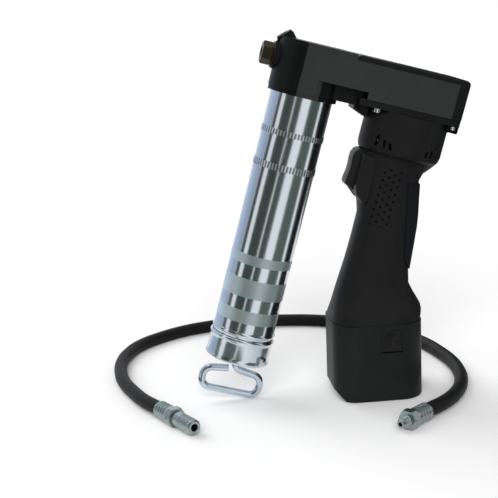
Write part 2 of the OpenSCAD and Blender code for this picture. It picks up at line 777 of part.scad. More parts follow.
module grip_backstrap() color("#14161c") in_gun() intersection() {
    difference() {
        handle_loft(strap_t, 5, 14);
        handle_loft(0.02, 4, 15, 1);
    }
    rotate([90, 0, 0]) linear_extrude(drum_d, center = true)
        polygon([[110.5, strap_top], [131, strap_top], [146, low(0.16)], [148, low(0.5)], [139, low(0.5)],
            [128, low(0.425)], [120.5, low(0.335)], [115, low(0.077)]]);
}

strap_top = -57;

// Trigger and switch
module trigger() color("#1f1f20") in_gun() rotate([90, 0, 0])
    linear_extrude(trigger_w, center = true)
        polygon([[trigger_back, slot_top - 2.5], [63, slot_top - 1.5], [trigger_face + 1.5, slot_top - 4],
            [trigger_face - 0.3, slot_top - 8], [trigger_face, slot_top - 14],
            [trigger_face, slot_top - 22], [trigger_face - 1.4, slot_top - 33],
            [trigger_face - 0.8, slot_top - 36.4], [trigger_face + 4, slot_top - 37.6],
            [trigger_face + 6, slot_top - 36], [trigger_back, slot_top - 35]]);

module trigger_spring() color("silver") in_gun()
    along_x(trigger_back, (switch_z[0] + switch_z[1]) / 2 + 6) coil(3.2, 0.9, switch_x - trigger_back, 4);

module switch_module() color("#2d2f33") in_gun()
    side_block([switch_x, switch_x + switch_w], switch_half, switch_z);

// Battery, drawn upright on the floor
module battery_plan(inset) {
    round_rect(batt_w - 2 * inset, batt_d - 2 * inset, plan_r - inset);
}

module front_chamfer(inset) {
    translate([-batt_w / 2 + inset, 0, inset]) rotate([0, 45, 0])
        cube([chamfer * sqrt(2), batt_d * 2, chamfer * sqrt(2)], center = true);
}

module button_window(grow, side, depth) {
    translate([button_x - button_w / 2 - grow, side > 0 ? batt_d / 2 - depth : -batt_d / 2 - 1,
        button_z - button_h / 2 - grow])
        cube([button_w + 2 * grow, depth + 1, button_h + 2 * grow]);
}

pocket_d = button_t + button_travel + 1.5;

module battery_case() color("#1b1c1c") difference() {
    union() {
        difference() {
            linear_extrude(batt_h - lid_t) battery_plan(0);
            translate([0, 0, batt_wall]) linear_extrude(batt_h) battery_plan(batt_wall);
        }
        intersection() {
            linear_extrude(batt_h - lid_t) battery_plan(0);
            for (side = [-1, 1]) button_window(free_gap + pocket_wall, side, pocket_d + pocket_wall);
        }
        intersection() {
            linear_extrude(batt_h - lid_t) battery_plan(0);
            front_chamfer(batt_wall / sqrt(2));
        }
    }
    front_chamfer(0);
    for (side = [-1, 1]) button_window(free_gap, side, pocket_d);
}

module battery_top() color("#1b1c1c") {
    difference() {
        translate([0, 0, batt_h - lid_t]) linear_extrude(lid_t) battery_plan(0);
        for (side = [-1, 1]) button_window(free_gap, side, pocket_d);
    }
    translate([0, 0, batt_h - 0.01]) linear_extrude(stem_h) round_rect(stem_w, stem_d, 5);
}

module battery_cells() color("#2f6fb0")
    for (i = [0:cell_cols - 1], j = [0:cell_rows - 1])
        translate([(i - (cell_cols - 1) / 2) * (cell_d + cell_gap), -cell_l / 2,
            batt_wall + cell_lift + cell_d / 2 + j * (cell_d + cell_gap)])
            rotate([-90, 0, 0]) cylinder(r = cell_d / 2, h = cell_l);

module battery_contacts() color("#b08d57")
    for (s = [-1, 1]) translate([s * stem_w / 4 - 3, -1, batt_h + stem_h])
        cube([6, 2, socket_z + shelf_t - stem_h]);

module contact_block() color("#2d2f33")
    translate([0, 0, seam_z + socket_z + shelf_t]) linear_extrude(block_h)
        round_rect(stem_w, stem_d, 3);

module release_button(side) intersection() {
    linear_extrude(batt_h) battery_plan(0);
    difference() {
        translate([button_x - button_w / 2, side > 0 ? batt_d / 2 - button_t : -batt_d / 2,
            button_z - button_h / 2]) cube([button_w, button_t, button_h]);
        translate([button_x, side * (batt_d / 2 + 14), button_z]) sphere(r = 15.5);
    }
}

module release_button_near() color("#202122") release_button(-1);

module release_button_far() color("#202122") release_button(1);

module button_spring(side) {
    translate([button_x, side * (batt_d / 2 - pocket_d), button_z])
        rotate([side > 0 ? -90 : 90, 0, 0]) coil(4, 0.9, pocket_d - button_t, 3);
}

module button_spring_near() color("silver") button_spring(-1);

module button_spring_far() color("silver") button_spring(1);

// Hose on the floor, with its fittings in line with the ends of its route
path_last = len(hose_path) - 1;
end_rise = max(ferrule_d, hose_hex_af) / 2 - hose_z;
rise_points = 4;
function path_z(i) = hose_z + end_rise * max(0, 1 - min(i, path_last - i) / rise_points);
function path_at(i) = concat(hose_path[i], [path_z(i)]);
function unit(v) = v / norm(v);
function path_dir(i) = unit(hose_path[min(i + 1, path_last)] - hose_path[max(i - 1, 0)]);

module hose() color("#1a1a1b") {
    sides = 10;
    points = [for (i = [0:path_last], k = [0:sides - 1]) let (d = path_dir(i), a = -360 * k / sides)
        path_at(i) + hose_z * [-d[1] * cos(a), d[0] * cos(a), sin(a)]];
    sweep(points, sides, path_last + 1);
}

module at_end(i, sense) {
    d = path_dir(i) * sense;
    translate(path_at(i))
        rotate([0, 90, atan2(d[1], d[0])]) children();
}

module ferrule() {
    cylinder(r = ferrule_d / 2, h = ferrule_l);
}

module hose_ferrule_inlet() color("#9aa5a5") at_end(0, -1) ferrule();

module hose_ferrule_outlet() color("#9aa5a5") at_end(path_last, 1) ferrule();

module hose_nipple() color("#9aa5a5") at_end(0, -1) difference() {
    union() {
        translate([0, 0, ferrule_l]) rotate([0, 0, 30])
            cylinder(r = hose_hex_af / sqrt(3), h = hose_hex_l, $fn = 6);
        translate([0, 0, ferrule_l + 1])
            cylinder(r = outlet_r + 0.4, h = hose_hex_l - 1 + outlet_l);
    }
    translate([0, 0, ferrule_l + 1]) cylinder(r = seat_r, h = hose_hex_l + outlet_l);
}

module hose_coupler() color("#9aa5a5") at_end(path_last, 1) difference() {
    union() {
        translate([0, 0, ferrule_l]) rotate([0, 0, 30])
            cylinder(r = hose_hex_af / sqrt(3), h = hose_hex_l, $fn = 6);
        translate([0, 0, ferrule_l + 1]) cylinder(r = coupler_r, h = hose_hex_l - 1 + coupler_l);
    }
    translate([0, 0, ferrule_l + hose_hex_l + 4]) cylinder(r = coupler_r / 2, h = coupler_l);
}

gear_case();
gear_cover();
cover_screws();
outlet_fitting();
outlet_washer();
check_ball();
valve_spring();
valve_stop();
relief_plug();
pump_plunger();
plunger_spring();
barrel_seal();
barrel_tube();
end_cap();
rod_bush();
follower_spring();
follower_seal();
follower_plate();
plunger_rod();
mounting_flange();
flange_screws();
handle_near_half();
handle_far_half();
handle_screws();
grip_backstrap();
trigger();
trigger_spring();
switch_module();
motor_can();
motor_magnets();
motor_rotor();
motor_pinion();
idler_pin();
idler_gear();
output_gear();
crank_shaft();
eccentric_ring();
lower_bush();
upper_bush();
contact_block();
battery_case();
battery_top();
battery_cells();
battery_contacts();
release_button_near();
release_button_far();
button_spring_near();
button_spring_far();
hose();
hose_ferrule_inlet();
hose_nipple();
hose_ferrule_outlet();
hose_coupler();
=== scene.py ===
# %% [markdown]
# A cordless grease gun, dressed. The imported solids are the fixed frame: every piece made here is
# drawn over one of them, in metres, and rides on the same body. The gun leans, so most pieces are
# modelled in the gun's own axes (barrel on Z, rear on X, millimetres) and then carried over by
# one matrix. That way each size can be read straight off a drawing of the upright gun.

# %% Frame and the gun's own axes
import json
import math

import bmesh
import bpy
from mathutils import Matrix, Vector

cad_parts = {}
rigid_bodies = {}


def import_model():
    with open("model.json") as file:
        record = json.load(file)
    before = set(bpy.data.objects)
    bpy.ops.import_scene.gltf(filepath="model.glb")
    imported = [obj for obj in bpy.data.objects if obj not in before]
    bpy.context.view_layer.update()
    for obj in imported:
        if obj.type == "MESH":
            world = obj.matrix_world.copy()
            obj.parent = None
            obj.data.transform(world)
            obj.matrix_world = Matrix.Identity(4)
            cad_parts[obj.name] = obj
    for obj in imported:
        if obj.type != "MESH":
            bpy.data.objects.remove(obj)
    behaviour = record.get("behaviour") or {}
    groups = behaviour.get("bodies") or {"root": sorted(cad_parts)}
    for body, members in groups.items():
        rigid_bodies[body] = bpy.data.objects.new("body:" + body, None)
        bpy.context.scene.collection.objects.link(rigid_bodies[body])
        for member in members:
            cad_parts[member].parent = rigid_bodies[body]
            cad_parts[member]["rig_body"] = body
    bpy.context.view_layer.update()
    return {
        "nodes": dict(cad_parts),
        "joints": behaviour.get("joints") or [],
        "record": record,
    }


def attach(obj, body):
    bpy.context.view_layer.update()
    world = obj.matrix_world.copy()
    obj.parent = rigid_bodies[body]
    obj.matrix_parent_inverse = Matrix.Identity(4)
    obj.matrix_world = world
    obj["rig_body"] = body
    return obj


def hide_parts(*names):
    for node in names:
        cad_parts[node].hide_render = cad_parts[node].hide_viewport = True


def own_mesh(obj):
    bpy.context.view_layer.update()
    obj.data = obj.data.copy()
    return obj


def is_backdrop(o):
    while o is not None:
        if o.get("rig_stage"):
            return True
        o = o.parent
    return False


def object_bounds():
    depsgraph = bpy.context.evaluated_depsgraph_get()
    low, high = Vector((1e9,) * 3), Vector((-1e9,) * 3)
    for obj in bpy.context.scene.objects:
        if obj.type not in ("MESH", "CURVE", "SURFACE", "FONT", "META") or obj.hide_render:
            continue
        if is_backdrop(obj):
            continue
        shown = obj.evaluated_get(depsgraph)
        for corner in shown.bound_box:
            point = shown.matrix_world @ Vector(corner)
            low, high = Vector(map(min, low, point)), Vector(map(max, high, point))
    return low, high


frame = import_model()
TILT = math.radians(16)
HEAD_AT = Vector((-0.0600062, 0, 0.2863904))
MM = Matrix.Scale(0.001, 4)
GUN = Matrix.Translation(HEAD_AT) @ Matrix.Rotation(TILT, 4, "Y") @ MM
FLOOR = MM

# %% [markdown]
# The camera comes first, because the loose hose is laid out by what it sees. Its place was solved
# from the outline of head, barrel and battery: a long lens a little over a metre away, thirteen
# degrees above the floor and a touch to the left, rolled by about two degrees.

# %% Camera
def look(target, azimuth, elevation, roll, distance, focal_px, image_px=498):
    a, e, r = (math.radians(v) for v in (azimuth, elevation, roll))
    back = Vector((math.sin(a) * math.cos(e), -math.cos(a) * math.cos(e), math.sin(e)))
    turn = back.to_track_quat("Z", "Y").to_matrix().to_4x4() @ Matrix.Rotation(r, 4, "Z")
    data = bpy.data.cameras.new("photo_camera")
    data.sensor_width = 36
    data.lens = focal_px / image_px * data.sensor_width
    camera = bpy.data.objects.new("photo_camera", data)
    camera.matrix_world = Matrix.Translation(Vector(target) + back * distance) @ turn
    bpy.context.scene.collection.objects.link(camera)
    bpy.context.scene.camera = camera
    return camera


VIEW_TURN = -5.75
camera = look((-0.1144, 0, 0.1444), VIEW_TURN, 13, -2.4, 1.122, 1218.5)
print("lens", round(camera.data.lens, 1), "mm at", [round(v, 3) for v in camera.location])

# %% [markdown]
# Three helpers serve every material: one turns a hex colour as seen on screen into linear light,
# one adds a node with its settings and links, and one starts an empty material. Where a node is
# given as a link, its first live output is meant. Patterns that belong to the gun read Object
# coordinates through a Texture-type Mapping, which undoes the lean and gives metres in gun axes.

# %% Colour and node helpers
def lin(code):
    parts = [int(code[i:i + 2], 16) / 255 for i in (1, 3, 5)]
    return tuple(c / 12.92 if c <= 0.04045 else ((c + 0.055) / 1.055) ** 2.4 for c in parts) + (1,)


def add(tree, kind, inputs=None, **settings):
    node = tree.nodes.new("ShaderNode" + kind)
    for key, value in settings.items():
        setattr(node, key, value)
    for socket, value in (inputs or {}).items():
        if isinstance(value, bpy.types.Node):
            value = next(o for o in value.outputs if o.enabled)
        if isinstance(value, bpy.types.NodeSocket):
            tree.links.new(value, node.inputs[socket])
        else:
            node.inputs[socket].default_value = value
    return node


def empty_material(name):
    material = bpy.data.materials.new(name)
    material.use_nodes = True
    material.node_tree.nodes.clear()
    return material, material.node_tree


UNLEAN = {"Location": HEAD_AT, "Rotation": (0, TILT, 0)}
print("helpers ready")

# %% [markdown]
# Nearly every finish here has the same build: a colour that drifts a little over centimetres, a
# shine that is uneven over millimetres, and a fine relief left by the way it was made. One
# function lays that down; what differs is the sizes, colours and shine, listed per material.

# %% The common build of a finish
def finish(name, dark, light, shine, sizes_mm, depth_mm, **constants):
    material, tree = empty_material(name)
    place = add(tree, "TexCoord").outputs["Object"]
    drift, patch, grain = (
        add(tree, "TexNoise", {"Vector": place, "Scale": 1000 / size,
                               "Detail": 3.0, "Roughness": 0.6})
        for size in sizes_mm)
    colour = add(tree, "Mix", {0: drift, 6: lin(dark), 7: lin(light)}, data_type="RGBA")
    rough = add(tree, "MapRange", {0: patch, 3: shine[0], 4: shine[1]})
    bump = add(tree, "Bump", {"Height": grain, "Distance": depth_mm / 1000, "Strength": 0.6})
    shader = add(tree, "BsdfPrincipled", {"Base Color": colour, "Roughness": rough, "Normal": bump})
    for socket, value in constants.items():
        shader.inputs[socket].default_value = value
    add(tree, "OutputMaterial", {"Surface": shader})
    return material


# fine spark and spray grain scatters the mirror part of the shine, so it is set well below that
# of a polished surface
SATIN = {"Specular IOR Level": 0.12}
print("finish build ready")

# %% [markdown]
# Painted castings. The head is die-cast aluminium under satin black stove enamel: a broad soft
# shine, a faint pebble from the spray gun about a millimetre wide, and slightly uneven gloss. The
# cover and flange carry the same enamel. The gear box's two flat sides get a lighter copy of the
# enamel, which is painted light, so that they show a shade lighter than the nose.

# %% Black enamel on cast aluminium
head_enamel = finish("satin_black_enamel_on_cast_aluminium", "#0b0c0c", "#121313", (0.34, 0.46),
                     (14, 6, 1.1), 0.05, IOR=1.5, **SATIN)
# painted light: a lighter copy of the same enamel, for the gear box's flat sides
painted_lit_side_enamel = finish("satin_black_enamel_painted_light_on_sides", "#2d2e2e", "#353636", (0.40, 0.52),
                     (22, 8, 1.1), 0.03, IOR=1.5, **SATIN)
cover_enamel = finish("deep_black_enamel_on_cast_aluminium", "#121313", "#191a1a", (0.32, 0.44),
                      (14, 6, 1.1), 0.05, IOR=1.5, **SATIN)
print("enamels:", head_enamel.name, painted_lit_side_enamel.name, cover_enamel.name)

# %% [markdown]
# The barrel is a drawn steel tube, polished lengthwise and plated with bright zinc, which has a
# cold blue cast. Three rings near its foot are frosted by wheel marks, and two narrow rings near
# its top are ribbed. All five are bands of height along the tube, so the material reads the gun's
# own Z and switches colour and roughness there; the ribs themselves are modelled further down.

# %% Bright zinc on drawn steel tube
FROSTED = ((-156.5, 4.5), (-182.5, 8.5), (-209, 6))
KNURLED = ((-38.5, 2.5), (-69, 3))
# real ribs are two millimetres apart; drawn at three so that they show
TUBE_R, RIBS = 28.5, 60
tube_zinc, tree = empty_material("bright_zinc_on_drawn_steel_tube")
gun = add(tree, "Mapping", {"Vector": add(tree, "TexCoord").outputs["Object"], **UNLEAN},
          vector_type="TEXTURE")
x, y, z = add(tree, "SeparateXYZ", {0: gun}).outputs


def bands(places):
    total = 0.0
    for centre, half in places:
        one = add(tree, "Math", {0: z, 1: centre / 1000, 2: half / 1000}, operation="COMPARE")
        total = add(tree, "Math", {0: one, 1: total}, operation="MAXIMUM")
    return total


frosted, knurled = bands(FROSTED), bands(KNURLED)
# drawing streaks run the tube's length: two millimetres wide, some fifteen centimetres long
stretched = add(tree, "Mapping", {"Vector": gun, "Scale": (1, 1, 0.014)})
streak = add(tree, "TexNoise", {"Vector": stretched, "Scale": 1000 / 2.2, "Detail": 4.0})
rough = add(tree, "MapRange", {0: streak, 3: 0.10, 4: 0.24})
# painted shade and highlight: the grooves between the ribs are painted darker, the crests lighter
turn = add(tree, "Math", {0: add(tree, "Math", {0: y, 1: x}, operation="ARCTAN2"), 1: RIBS},
           operation="MULTIPLY")
swing = add(tree, "Math", {0: turn}, operation="COSINE")
rib_light_and_shade = add(tree, "MapRange", {0: swing, 1: -0.6, 2: 0.6})
ribbed = add(tree, "Mix", {0: rib_light_and_shade, 6: lin("#788284"), 7: lin("#e6eef4")}, data_type="RGBA")
colour = lin("#ced7dd")
for band, least, tint in ((frosted, 0.50, lin("#c3d0d4")), (knurled, 0.40, ribbed)):
    matt = add(tree, "Math", {0: band, 1: least}, operation="MULTIPLY")
    rough = add(tree, "Math", {0: rough, 1: matt}, operation="MAXIMUM")
    colour = add(tree, "Mix", {0: band, 6: colour, 7: tint}, data_type="RGBA")
bump = add(tree, "Bump", {"Height": streak, "Distance": 0.0000125, "Strength": 0.8})
plate = add(tree, "BsdfPrincipled", {"Base Color": colour, "Roughness": rough, "Normal": bump,
                                     "Metallic": 1.0})
add(tree, "OutputMaterial", {"Surface": plate})
print("tube finish bands:", len(FROSTED), "frosted,", len(KNURLED), "ribbed")

# %% [markdown]
# The pressed end cap and the wire rod have the same zinc, brighter and without bands. Screws and
# hose ends are zinc too, the hose ends passivated dull. The outlet hexagon is oiled black steel
# rubbed bronze by handling, and inside pieces get plain machined metals.

# %% Other metals
cap_zinc = finish("bright_zinc_on_pressed_steel", "#c4ced6", "#d8e0e6", (0.12, 0.26), (12, 5, 2.5),
                  0.02, Metallic=1.0)
wire_zinc = finish("bright_zinc_on_bent_wire", "#b4c2d0", "#d0dae2", (0.12, 0.24), (8, 3, 1.5),
                   0.015, Metallic=1.0)
screw_zinc = finish("bright_zinc_on_screws", "#c4caca", "#dfe3e3", (0.18, 0.30), (4, 1.6, 0.8),
                    0.01, Metallic=1.0)
dull_zinc = finish("dull_zinc_on_turned_steel", "#8b9696", "#aab4b4", (0.30, 0.46), (5, 2, 0.9),
                   0.03, Metallic=1.0)
black_steel = finish("oiled_black_steel_rubbed_bronze", "#262522", "#443a2b", (0.32, 0.46),
                     (10, 4, 2), 0.03, Metallic=1.0)
copper = finish("annealed_copper_washer", "#34291c", "#4a3a24", (0.38, 0.52), (6, 2.4, 1.2), 0.02,
                Metallic=1.0)
steel = finish("ground_steel", "#a8abad", "#c3c5c6", (0.22, 0.34), (4, 1.4, 0.7), 0.01,
               Metallic=1.0)
bronze = finish("sintered_bronze", "#8f7142", "#ab8a55", (0.42, 0.55), (3, 1, 0.5), 0.03,
                Metallic=1.0)
can_steel = finish("rolled_motor_steel", "#6a6f72", "#80868a", (0.30, 0.42), (8, 3, 1.5), 0.02,
                   Metallic=1.0)
winding = finish("enamelled_copper_wire", "#8a4a22", "#b06a34", (0.28, 0.40), (3, 1.2, 0.6), 0.05,
                 Metallic=1.0)
brass = finish("stamped_brass", "#a8853f", "#c4a058", (0.24, 0.36), (4, 1.6, 0.8), 0.01,
               Metallic=1.0)
print("metals ready")

# %% [markdown]
# Mouldings. Grip and battery are glass-filled nylon and ABS out of spark-eroded moulds, which
# leaves a fine even grain, drawn here at 0.7 mm so that it shows. Rubber parts are darker and
# rougher.

# %% Moulded plastics and rubber
battery_abs = finish("satin_moulded_abs_battery", "#1b1c1c", "#212222", (0.40, 0.52), (18, 9, 0.8),
                     0.035, IOR=1.5, **SATIN)
button_abs = finish("satin_moulded_abs_button", "#1a1b1b", "#212121", (0.36, 0.46), (18, 9, 0.8),
                    0.03, IOR=1.5, **SATIN)
trigger_nylon = finish("satin_moulded_nylon_trigger", "#1b1c1c", "#222323", (0.36, 0.46),
                       (18, 9, 0.8), 0.03, IOR=1.5, **SATIN)
strap_rubber = finish("soft_moulded_rubber_backstrap", "#15171b", "#1a1c21", (0.58, 0.72),
                      (18, 9, 0.9), 0.06, IOR=1.5, **SATIN)
seal_rubber = finish("moulded_nitrile_rubber", "#121212", "#1a1a1a", (0.55, 0.70), (18, 9, 1), 0.05,
                     IOR=1.5)
inner_plastic = finish("moulded_black_phenolic", "#292b2f", "#33353a", (0.42, 0.55), (18, 9, 0.8),
                       0.04, IOR=1.5)
ferrite = finish("sintered_ferrite", "#35353a", "#404046", (0.55, 0.70), (18, 9, 0.6), 0.05,
                 IOR=1.5)
cell_film = finish("blue_shrink_film", "#2a66a3", "#3577b8", (0.20, 0.32), (18, 9, 3), 0.03,
                   IOR=1.5)
print("mouldings ready")

# %% [markdown]
# The grip's sides carry staggered round dimples: a grid in the gun's X and Z, five by seven
# millimetres, with every other column shifted by half a step. The dents are modelled with the
# handle. The material paints shade into the bottom of each, near black: the distance from each
# cell's middle makes the painted dark dot, and a window in X and Z bounds the field.

# %% Dimpled nylon grip
DOT_ACROSS, DOT_ALONG, DOT_R, DOT_START = 0.005, 0.007, 0.0014, 0.0835
grip_nylon = finish("spark_textured_nylon_grip", "#19191a", "#1f1f20", (0.42, 0.54), (18, 9, 0.7),
                    0.05, IOR=1.5, **SATIN)
tree = grip_nylon.node_tree
place = add(tree, "TexCoord").outputs["Object"]
x, y, z = add(tree, "SeparateXYZ", {0: add(tree, "Mapping", {"Vector": place, **UNLEAN},
                                           vector_type="TEXTURE")}).outputs
start = add(tree, "Math", {0: x, 1: DOT_START}, operation="SUBTRACT")
column = add(tree, "Math", {0: start, 1: DOT_ACROSS}, operation="DIVIDE")
half = add(tree, "Math", {0: column, 1: 0.5}, operation="MULTIPLY")
odd = add(tree, "Math", {0: add(tree, "Math", {0: half}, operation="FRACT"), 1: 0.5},
          operation="GREATER_THAN")
height = add(tree, "Math", {0: z, 1: DOT_ALONG}, operation="DIVIDE")
row = add(tree, "Math", {0: odd, 1: 0.5, 2: height}, operation="MULTIPLY_ADD")
offs = []
for cell, size in ((column, DOT_ACROSS), (row, DOT_ALONG)):
    part = add(tree, "Math", {0: cell}, operation="FRACT")
    offs.append(add(tree, "Math", {0: part, 1: size, 2: -size / 2}, operation="MULTIPLY_ADD"))
off = add(tree, "CombineXYZ", {0: offs[0], 1: offs[1]})
far = add(tree, "VectorMath", {0: off}, operation="LENGTH").outputs["Value"]
dot = add(tree, "MapRange", {0: far, 1: DOT_R * 0.7, 2: DOT_R, 3: 1.0, 4: 0.0})
for value, middle, reach in ((column, 2.0, 2.0), (z, -0.074, 0.028)):
    inside = add(tree, "Math", {0: value, 1: middle, 2: reach}, operation="COMPARE")
    dot = add(tree, "Math", {0: dot, 1: inside}, operation="MULTIPLY")
shader = tree.nodes["Principled BSDF"]
# painted shade: the bottom of each dimple is painted near black
colour = add(tree, "Mix", {0: dot, 6: tree.nodes["Mix"], 7: lin("#030303")}, data_type="RGBA")
tree.links.new(colour.outputs[2], shader.inputs["Base Color"])
print("grip finish with dimples", DOT_ACROSS * 1000, "by", DOT_ALONG * 1000, "mm")

# %% [markdown]
# A hose cover is cured inside a wound cloth, which leaves its weave pressed into the rubber. The
# pattern follows the hose, so it reads the tube's own UV map: crossed slanted ribs, drawn at
# 2.2 mm, coarser than the real millimetre, so that they show.

# %% Cloth-marked hose rubber
HOSE_D, HOSE_L, WEAVE, RIBS_ROUND = 0.013, 0.804, 0.0022, 18
hose_rubber = finish("cloth_marked_hose_rubber", "#131314", "#19191a", (0.46, 0.58), (12, 8, 1),
                     0.03, IOR=1.5, **SATIN)
tree = hose_rubber.node_tree
u, v, w = add(tree, "SeparateXYZ", {0: add(tree, "TexCoord").outputs["UV"]}).outputs
along = add(tree, "Math", {0: u, 1: 2 * math.pi * HOSE_L / WEAVE}, operation="MULTIPLY")
about = add(tree, "Math", {0: v, 1: 2 * math.pi * RIBS_ROUND}, operation="MULTIPLY")
weave = 1.0
for slant in ("ADD", "SUBTRACT"):
    wave = add(tree, "Math", {0: add(tree, "Math", {0: along, 1: about}, operation=slant)},
               operation="SINE")
    weave = add(tree, "Math", {0: wave, 1: weave}, operation="MULTIPLY")
rib = add(tree, "Bump", {"Height": weave, "Distance": 0.00012, "Strength": 0.5,
                         "Normal": tree.nodes["Bump"]})
tree.links.new(rib.outputs[0], tree.nodes["Principled BSDF"].inputs["Normal"])
print("hose finish ready")

# %% [markdown]
# Every new piece ends the same way: its bmesh is carried from gun axes to the frame, shaded
# smooth with its sharp edges kept, and tied to the body and solids that it stands for.
# A Bevel modifier breaks the hard edges, because no moulded or cast edge is a knife edge.

# %% Finishing a piece
def settle(name, bm, material, body, nodes=(), place=GUN, edge_mm=0.0, sharp=35,
           steps=2):
    bmesh.ops.transform(bm, matrix=place, verts=bm.verts)
    mesh = bpy.data.meshes.new(name)
    bm.to_mesh(mesh)
    bm.free()
    mesh.shade_smooth()
    mesh.set_sharp_from_angle(angle=math.radians(sharp))
    mesh.materials.append(material)
    made = bpy.data.objects.new(name, mesh)
    bpy.context.scene.collection.objects.link(made)
    if edge_mm:
        soft = made.modifiers.new("broken_edges", "BEVEL")
        soft.width, soft.segments, soft.limit_method = edge_mm / 1000, steps, "ANGLE"
        soft.angle_limit, soft.harden_normals = math.radians(sharp), True
    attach(made, body)
    if nodes:
        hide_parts(*nodes)
    print(name, len(mesh.polygons), "faces on", body)
    return made


print("pieces are settled in gun axes unless a place is given")

# %% [markdown]
# Round pieces are turned, as on a lathe: a closed outline of radius and height is spun a full
# turn. Plates and mouldings with a drawn side view are cut from an outline in X and Z, as if
# sawn from a slab. Where one solid has to be cut by another, a Boolean does it once and the
# result is read back, so no live modifier depends on another object.

# %% Turning, sawing and carving
def outline(bm, points):
    loop = [bm.verts.new(p) for p in points]
    return loop, [bm.edges.new((loop[i], loop[(i + 1) % len(loop)])) for i in range(len(loop))]


def turned(points, steps=96):
    bm = bmesh.new()
    loop, edges = outline(bm, [(r, 0, z) for r, z in points])
    bmesh.ops.spin(bm, geom=loop + edges, cent=(0, 0, 0), axis=(0, 0, 1), angle=2 * math.pi,
                   steps=steps, use_merge=True)
    bmesh.ops.remove_doubles(bm, verts=bm.verts, dist=0.001)
    bmesh.ops.recalc_face_normals(bm, faces=bm.faces)
    return bm


def sawn(points, y_low, y_high):
    bm = bmesh.new()
    loop, edges = outline(bm, [(x, y_low, z) for x, z in points])
    face = bmesh.ops.contextual_create(bm, geom=edges)["faces"]
    top = bmesh.ops.extrude_face_region(bm, geom=face)["geom"]
    bmesh.ops.translate(bm, vec=(0, y_high - y_low, 0),
                        verts=[v for v in top if isinstance(v, bmesh.types.BMVert)])
    bmesh.ops.recalc_face_normals(bm, faces=bm.faces)
    return bm


def block(low, high):
    bm = bmesh.new()
    made = bmesh.ops.create_cube(bm, size=1)["verts"]
    size = [b - a for a, b in zip(low, high)]
    bmesh.ops.scale(bm, vec=size, verts=made)
    bmesh.ops.translate(bm, vec=[(a + b) / 2 for a, b in zip(low, high)], verts=made)
    return bm


def rod(radius, length, place, sides=48):
    bm = bmesh.new()
    bmesh.ops.create_cone(bm, cap_ends=True, segments=sides, radius1=radius, radius2=radius,
                          depth=length, matrix=place @ Matrix.Translation((0, 0, length / 2)))
    return bm


def carve(bm, cutters, operation="DIFFERENCE"):
    def loose(shape):
        bmesh.ops.recalc_face_normals(shape, faces=shape.faces)
        mesh = bpy.data.meshes.new("cutting")
        shape.to_mesh(mesh)
        shape.free()
        thing = bpy.data.objects.new("cutting", mesh)
        bpy.context.scene.collection.objects.link(thing)
        return thing

    body = loose(bm)
    tools = [loose(c) for c in cutters]
    for tool in tools:
        cut = body.modifiers.new("cut", "BOOLEAN")
        cut.object, cut.operation, cut.solver = tool, operation, "EXACT"
    bpy.context.view_layer.update()
    result = bmesh.new()
    result.from_mesh(body.evaluated_get(bpy.context.evaluated_depsgraph_get()).data)
    for thing in [body, *tools]:
        mesh = thing.data
        bpy.data.objects.remove(thing)
        bpy.data.meshes.remove(mesh)
    bmesh.ops.dissolve_limit(result, angle_limit=0.01, verts=result.verts, edges=result.edges)
    return result


def along_x(x, z, y=0):
    return Matrix.Translation((x, y, z)) @ Matrix.Rotation(math.pi / 2, 4, "Y")


print("workshop ready")

# %% [markdown]
# The delivery hose lies loose on the floor, taken off the gun. A Bezier curve through the route's
# points gives the smooth sweep that a stiff hose takes; it is then made a mesh, because the weave
# needs its UV map. Its two ends rise two millimetres to the height of the fittings' hexagons.

# %% Hose
ROUTE = ((28, -91), (51, -70), (69, -45), (81, -16), (87, 14), (88, 45), (84, 76), (77, 106),
         (65, 134), (49, 161), (29, 185), (5, 204), (-22, 219), (-51, 227), (-82, 231),
         (-113, 229), (-143, 223), (-172, 211), (-197, 193), (-218, 171), (-232, 143), (-239, 113),
         (-240, 82), (-237, 52), (-229, 21), (-219, -8), (-205, -35))
LAST = len(ROUTE) - 1
HOSE_Z, END_RISE, RISE_POINTS = 6.5, 2.0, 4


def route_point(i):
    rise = END_RISE * max(0, 1 - min(i, LAST - i) / RISE_POINTS)
    return Vector((*ROUTE[i], HOSE_Z + rise)) * 0.001


path = [route_point(i) for i in range(LAST + 1)]
line = bpy.data.curves.new("delivery_hose", "CURVE")
line.dimensions, line.bevel_depth, line.bevel_resolution = "3D", HOSE_D / 2, 7
line.resolution_u, line.use_fill_caps = 8, True
spline = line.splines.new("BEZIER")
spline.bezier_points.add(LAST)
for knot, point in zip(spline.bezier_points, path):
    knot.co, knot.handle_left_type, knot.handle_right_type = point, "AUTO", "AUTO"
guide = bpy.data.objects.new("hose_guide", line)
bpy.context.scene.collection.objects.link(guide)
bpy.context.view_layer.update()
drawn = guide.evaluated_get(bpy.context.evaluated_depsgraph_get())
tube_mesh = bpy.data.meshes.new_from_object(drawn)
bpy.data.objects.remove(guide)
tube_mesh.shade_smooth()
tube_mesh.materials.clear()
tube_mesh.materials.append(hose_rubber)
hose = bpy.data.objects.new("delivery_hose", tube_mesh)
bpy.context.scene.collection.objects.link(hose)
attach(hose, "gun")
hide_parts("hose")

# %% [markdown]
# Both hose ends are crimped ferrules: a turned sleeve squeezed in rings. At one end a hexagon and
# a short male thread with a cone screw into the gun's outlet. At the other a hexagon carries the
# ribbed grease coupler, whose mouth snaps over a grease nipple.

# %% Hose ferrules, nipple and coupler
def hose_end(i, sense):
    d = (Vector(ROUTE[min(i + 1, LAST)]) - Vector(ROUTE[max(i - 1, 0)])) * sense
    yaw = math.atan2(d.y, d.x)
    return (Matrix.Translation(route_point(i)) @ Matrix.Rotation(yaw, 4, "Z")
            @ Matrix.Rotation(math.pi / 2, 4, "Y") @ MM)


def ferrule_outline(length=22, radius=8):
    points = [(5, 0.3), (radius - 1, 0), (radius, 1)]
    for z in (4, 8, 12, 16):
        points += [(radius, z - 0.6), (radius - 0.9, z), (radius - 0.9, z + 1.4), (radius, z + 2)]
    return points + [(radius, length - 1), (radius - 1, length), (5, length)]


